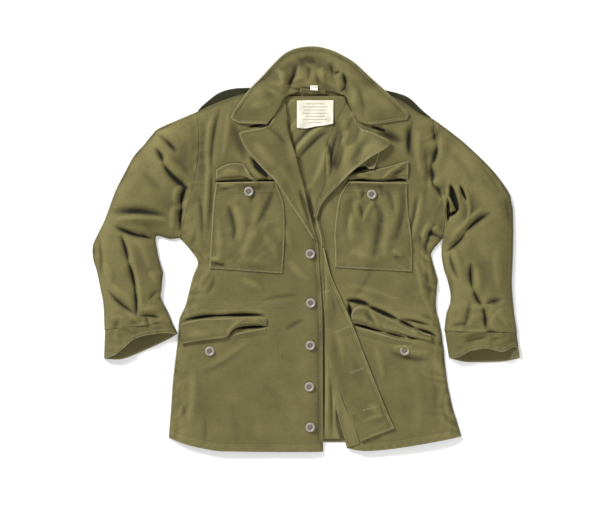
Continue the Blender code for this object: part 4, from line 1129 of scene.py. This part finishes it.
# ---- Lapels --------------------------------------------------------------------------------
# The fronts' facings roll outwards as lapels. The right one lies nearly flat. The left one
# stands off the front along its outer edge, which throws a deep shadow on the pocket.
LAPEL_RIGHT = [
    (-49, 743, -46, 745), (-64, 714, -42, 714), (-83, 684, -39, 682), (-133, 673, -34, 659),
    (-140, 664, -29, 643), (-125, 634, -22, 620), (-93, 596, -14, 588), (-66, 569, -7, 563),
    (-37, 525, 3, 517), (-9, 483, 14, 473), (12, 449, 22, 443)]
LAPEL_LEFT = [
    (85, 733, 96, 712), (66, 697, 114, 680), (51, 666, 140, 670), (43, 640, 176, 647),
    (41, 613, 133, 617), (42, 588, 98, 590), (39, 556, 68, 561), (24, 523, 35, 527),
    (14, 494, 20, 492)]
LAPEL_CREASES = {
    "right": [(-88, 684, -40, 640, 5, 5, -1.6, 1.6), (-110, 660, -60, 600, -6, 12, 1.8, 2),
              (-60, 600, -20, 540, 4, 9, 1.4, 2), (-44, 700, -34, 660, 2, 5, -1.8, 1.6),
              (-30, 560, 2, 500, 3, 6, -1.2, 1.8), (-16, 556, 24, 440, 0, 6, -6, 2)],
    "left": [(102, 708, 68, 664, 5, 9, -3, 1.8), (128, 664, 90, 610, 5, 10, -1.6, 2),
             (47, 657, 40, 614, 3, 6, -4, 1.4), (52, 672, 46, 576, -3, 6, 2.6, 1.6),
             (45, 650, 50, 576, 4, 5, -3.2, 1.4), (80, 700, 72, 640, 5, 9, 2.2, 2),
             (60, 690, 50, 640, 3, 7, 2.2, 1.8), (110, 650, 80, 600, -6, 12, 1.8, 2),
             (74, 640, 56, 580, 4, 8, -1.6, 1.8), (62, 700, 60, 590, 0, 14, -4, 2),
             (112, 700, 84, 640, 4, 10, -4, 2), (60, 640, 84, 668, 2, 4, -3, 1.5)]}
LAPEL_LIFT = {"right": 4.0, "left": 6.5}
LAPEL_COLUMNS = 46
for side, table, rows, free, flat, area in (
        ("right", LAPEL_RIGHT, 130, "first", (0.11, 0.31), 0.0175),
        ("left", LAPEL_LEFT, 110, "last", (0.13, 0.26), 0.0135)):
    grid = table_grid(table, rows, LAPEL_COLUMNS, 6.0)
    outer, roll = (grid[:, 0], grid[:, -1]) if free == "first" else (grid[:, -1], grid[:, 0])
    away = to_line(grid, outer)[0]
    roll_away = to_line(grid, roll)[0]
    middle = np.sin(np.pi * np.linspace(0, 1, rows))[:, None]
    heights = lying(grid, 4) + 1.3 * strokes(grid, LAPEL_CREASES[side])
    heights += LAPEL_LIFT[side] * middle * np.exp(-(away / 30) ** 2)
    heights += 4.0 * middle * np.exp(-(roll_away / 16) ** 2)
    heights += hemmed(away, EDGE_STITCH, 0.5) + ripple(grid, 260 + rows, 44, 0.4)
    heights += pucker(grid, outer, 261 + rows, 8, 0.45, 15)
    heights = np.maximum(heights, clear(grid))
    lapel = cloth_object(f"lapel_{side}_cloth", grid, heights, DOUBLED, sateen,
                         f"lapel_{side}", away)
    stitches(f"lapel_{side}", [inset(grid, free, EDGE_STITCH)], grid, heights + DOUBLED)
    if side == "left":
        buttonholes("lapel", [(133, 654, 154, 646)], grid, heights + DOUBLED)

# ---- Collar --------------------------------------------------------------------------------
# The collar is two cloths turned and stitched round its edge. It stands at the neck seam and
# spreads outwards over the shoulders, its points lying on the lapels.
COLLAR = [
    (-83, 688, -142, 690), (-68, 706, -158, 703), (-56, 724, -140, 734), (-50, 738, -118, 763),
    (-43, 746, -92, 791), (-33, 751, -72, 813), (-20, 756, -47, 837), (-3, 760, -20, 849),
    (16, 762, 12, 853), (37, 760, 43, 848), (56, 757, 72, 836), (72, 752, 102, 818),
    (83, 746, 131, 791), (90, 732, 161, 763), (97, 712, 188, 737), (112, 693, 213, 712),
    (133, 687, 211, 698)]
COLLAR_CREASES = [
    (-41, 768, -19, 820, -5, 5, -4.5, 1.4), (-12, 822, 20, 818, 4, 5, -4, 1.4),
    (60, 790, 74, 797, 4, 4, -4, 1.4), (74, 797, 80, 768, 4, 4, -5, 1.3),
    (80, 772, 70, 755, 3, 4, -3.5, 1.4), (5, 812, 2, 776, 2, 5, -2.4, 1.5),
    (34, 812, 39, 771, -2, 6, 2.6, 1.8), (-64, 806, -44, 772, 3, 6, 3, 1.8),
    (-42, 766, 30, 764, -4, 4, -3.5, 1.5), (-30, 776, -4, 784, 3, 4, 2.4, 1.6),
    (18, 800, 26, 770, 2, 4, -2, 1.5), (48, 820, 54, 782, 3, 5, -2.4, 1.5),
    (-26, 816, -42, 752, 4, 7, -3, 1.6), (-42, 806, -52, 752, -3, 8, 2.2, 2),
    (76, 800, 84, 748, 3, 6, -3.2, 1.5), (62, 806, 70, 756, 3, 8, 2.2, 2),
    (96, 770, 100, 720, 4, 8, 2.2, 1.8), (110, 762, 120, 704, 3, 7, -1.8, 1.8),
    (-70, 730, -120, 720, -4, 9, 1.8, 2), (0, 790, 60, 788, 4, 12, 1.4, 2),
    (140, 740, 190, 712, 4, 12, 1.6, 2), (-100, 770, -70, 740, 3, 10, -1.4, 2),
    (-62, 788, 84, 790, 24, 18, -4.5, 2), (-46, 806, 50, 826, 8, 10, -1.5, 2)]
COLLAR_ROWS, COLLAR_COLUMNS = 210, 44
COLLAR_LOWEST = 0.3
collar_grid = table_grid(COLLAR, COLLAR_ROWS, COLLAR_COLUMNS, 6.0)
outer = collar_grid[:, -1]
away = edge_distance(collar_grid, outer, collar_grid[0], collar_grid[-1])
neck = np.linspace(1, 0, COLLAR_COLUMNS)[None, :]
along = np.sin(np.pi * np.linspace(0, 1, COLLAR_ROWS))[:, None]
heights = lying(collar_grid, 5) + 1.3 * strokes(collar_grid, COLLAR_CREASES)
heights += 9.0 * along * np.sin(np.pi * np.clip(1.12 * (1 - neck), 0, 1)) ** 0.85
stand = along * np.clip(neck * 1.6, 0, 1)
heights += stand * crumple(collar_grid, 282, 26, 1.1)
heights += 3.2 * along * np.exp(-(away / 26) ** 2)
heights += hemmed(away, EDGE_STITCH, 0.5) + ripple(collar_grid, 280, 55, 0.6)
heights += pucker(collar_grid, outer, 281, 8, 0.5, 15)
heights = np.maximum(heights, np.maximum(clear(collar_grid), COLLAR_LOWEST))
collar = cloth_object("collar_cloth", collar_grid, heights, DOUBLED, sateen, "collar", away)
lines = [inset(collar_grid, edge, EDGE_STITCH)[:-3] for edge in ("last", "bottom", "top")]
stitches("collar", [lines[0][3:], *lines[1:]], collar_grid, heights + DOUBLED)

# ---- Neck label, size tag and hanger loop --------------------------------------------------
# A cream woven label is sewn to the lining with its lower edge a little loose. A small tag
# and a loop of olive tape are caught in the neck seam above it. Their printing is plain bars.
NECK_LABEL = [(-20, 681, -20, 738), (-1, 680, -1, 739), (20, 684, 20, 739), (38, 686, 38, 739),
              (56, 690, 57, 739)]
HANGER_LOOP = [(-14, 755, -14, 766), (6, 753, 6, 763), (24, 753, 24, 761), (41, 753, 41, 763)]
SIZE_TAG = [(8, 760, 8, 770), (24, 759, 24, 770)]
# How far each printed bar stops short of the label's sides
BAR_MARGINS = (16, 8, 10, 6, 14, 9, 20)
BAR_TOP, BAR_PITCH, BAR_HEIGHT = 731, 6.6, 1.5
BAR_LEFT, BAR_RIGHT = -16, 52
INK_WALL = 0.12
label_weave = woven_material("label tape", (0.74, 0.70, 0.56), (0.83, 0.79, 0.65),
                             (0.86, 0.83, 0.72), 520, 0.75, 0.1)
ink = new_material("label bars", {"Base Color": (0.42, 0.39, 0.30, 1), "Roughness": 0.8})

label_grid = table_grid(NECK_LABEL, 40, 30, 2.0)
heights = lying(label_grid, 2) + ripple(label_grid, 300, 30, 0.4) + 0.5
label = cloth_object("label_neck", label_grid, heights, THIN, label_weave, "neck_label",
                     edge_distance(label_grid, *rim(label_grid)))

for line, margin in enumerate(BAR_MARGINS):
    y = BAR_TOP - BAR_PITCH * line
    ends = (BAR_LEFT + margin, BAR_RIGHT - margin)
    bar_grid = table_grid([(x, y, x, y + BAR_HEIGHT) for x in ends], 24, 3, 0.5)
    cloth_object(f"label_bar_{line + 1}", bar_grid, sampled(pile, bar_grid) + 0.05, INK_WALL, ink)

loop_grid = table_grid(HANGER_LOOP, 30, 8, 1.0)
heights = np.maximum(lying(loop_grid, 1), 0) + 1.6 * np.sin(np.pi * np.linspace(0, 1, 30))[:, None]
loop = cloth_object("hanger_tape", loop_grid, heights, THIN, sateen, "hanger_loop")
tag_grid = table_grid(SIZE_TAG, 12, 10, 1.0)
heights = lying(tag_grid, 0) + 0.4
tag = cloth_object("tag_size", tag_grid, heights, THIN, label_weave, "size_tag",
                   edge_distance(tag_grid, *rim(tag_grid)))

# ---- Buttons -------------------------------------------------------------------------------
# Nine moulded buttons, grey-beige with a sunk middle, are sewn on with a cross of olive thread.
# The one of the left hip pocket has sunk into the cloth that droops round it.
BUTTONS = [
    ("button_front_1", 8, 416), ("button_front_2", 9, 313), ("button_front_3", 8, 224),
    ("button_front_4", 6, 137), ("button_front_5", 8, 52),
    ("button_chest_right", -121, 547), ("button_chest_left", 137, 541),
    ("button_hip_right", -203, 212), ("button_hip_left", 206, 213)]
# radius, height up the button's turned face, mm, from its foot to its middle
BUTTON_FACE = [(0, 0.2), (7.6, 0.2), (9.2, 0.6), (9.9, 1.4), (10, 2.2), (9.6, 3), (8.8, 3.4),
               (7.8, 3.45), (6.8, 3.2), (6, 2.6), (5.2, 2.2), (4, 2), (2, 1.95), (0, 1.95)]
BUTTON_SIDES = 40
FOOT_RADIUS = 8.5
THREAD_HEIGHT = 2.35
THREAD_RADIUS = 0.55
HIP_LEFT_SUNK = 2.1
HOLE_PLACE = 1.9

button_plastic = new_material("button plastic", {"Roughness": 0.38, "Specular IOR Level": 0.5})
tree = button_plastic.node_tree
at = add(tree, "ShaderNodeTexCoord", {}).outputs["Object"]
swirl = add(tree, "ShaderNodeTexNoise", {"Vector": at, "Scale": 900.0, "Detail": 3.0})
radius = add(tree, "ShaderNodeAttribute", {}, attribute_name="radius").outputs["Fac"]
ring = add(tree, "ShaderNodeMapRange", {"Value": radius, "From Min": 4.4, "From Max": 6.6})
shade = add(tree, "ShaderNodeMix", {
    "Factor": ring.outputs["Result"], "A": (0.115, 0.098, 0.080, 1), "B": (0.330, 0.293, 0.245, 1)},
    data_type="RGBA")
cloud = add(tree, "ShaderNodeMix", {
    "Factor": 0.35, "A": shade.outputs["Result"], "B": swirl.outputs["Color"]},
    data_type="RGBA", blend_type="MULTIPLY")
wire(tree.nodes["Principled BSDF"], {"Base Color": cloud.outputs["Result"]})


def turned(name, origin):
    """A button turned from its face profile, with its radius kept for its colour."""
    shape = bmesh.new()
    radii = shape.verts.layers.float.new("radius")
    rings = []
    for radius, height in BUTTON_FACE:
        count = 1 if radius == 0 else BUTTON_SIDES
        ring = []
        for side in range(count):
            turn = 2 * math.pi * side / BUTTON_SIDES
            vert = shape.verts.new(((origin[0] + radius * math.cos(turn)) * MM,
                                    (origin[1] + radius * math.sin(turn)) * MM,
                                    (origin[2] + height) * MM))
            vert[radii] = radius
            ring.append(vert)
        rings.append(ring)
    for ring, following in zip(rings, rings[1:]):
        for side in range(BUTTON_SIDES):
            after = (side + 1) % BUTTON_SIDES
            corners = [ring[side % len(ring)], ring[after % len(ring)],
                       following[after % len(following)], following[side % len(following)]]
            shape.faces.new(list(dict.fromkeys(corners)))
    bmesh.ops.recalc_face_normals(shape, faces=shape.faces[:])
    for face in shape.faces:
        face.smooth = True
    mesh = bpy.data.meshes.new(name)
    shape.to_mesh(mesh)
    shape.free()
    mesh.materials.append(button_plastic)
    return put(name, mesh)


for name, x, y in BUTTONS:
    turns = np.linspace(0, 2 * math.pi, 16, endpoint=False)
    foot = np.array([x, y]) + FOOT_RADIUS * np.stack([np.cos(turns), np.sin(turns)], -1)
    seat = float(sampled(pile, foot).max())
    if name == "button_hip_left":
        seat = float(sampled(pile, np.array([[x, y]]))[0]) - HIP_LEFT_SUNK
    origin = (x - MIDDLE[0], y - MIDDLE[1], seat)
    disc = turned(name + "_face", origin)
    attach(disc, "root")
    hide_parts(name)
    top = seat + THREAD_HEIGHT
    corners = [(origin[0] + HOLE_PLACE * a, origin[1] + HOLE_PLACE * b, top) for a, b in
               ((-1, -1), (1, 1), (-1, 1), (1, -1))]
    rods(name + "_thread", [corners[:2], corners[2:]], THREAD_RADIUS, 6)
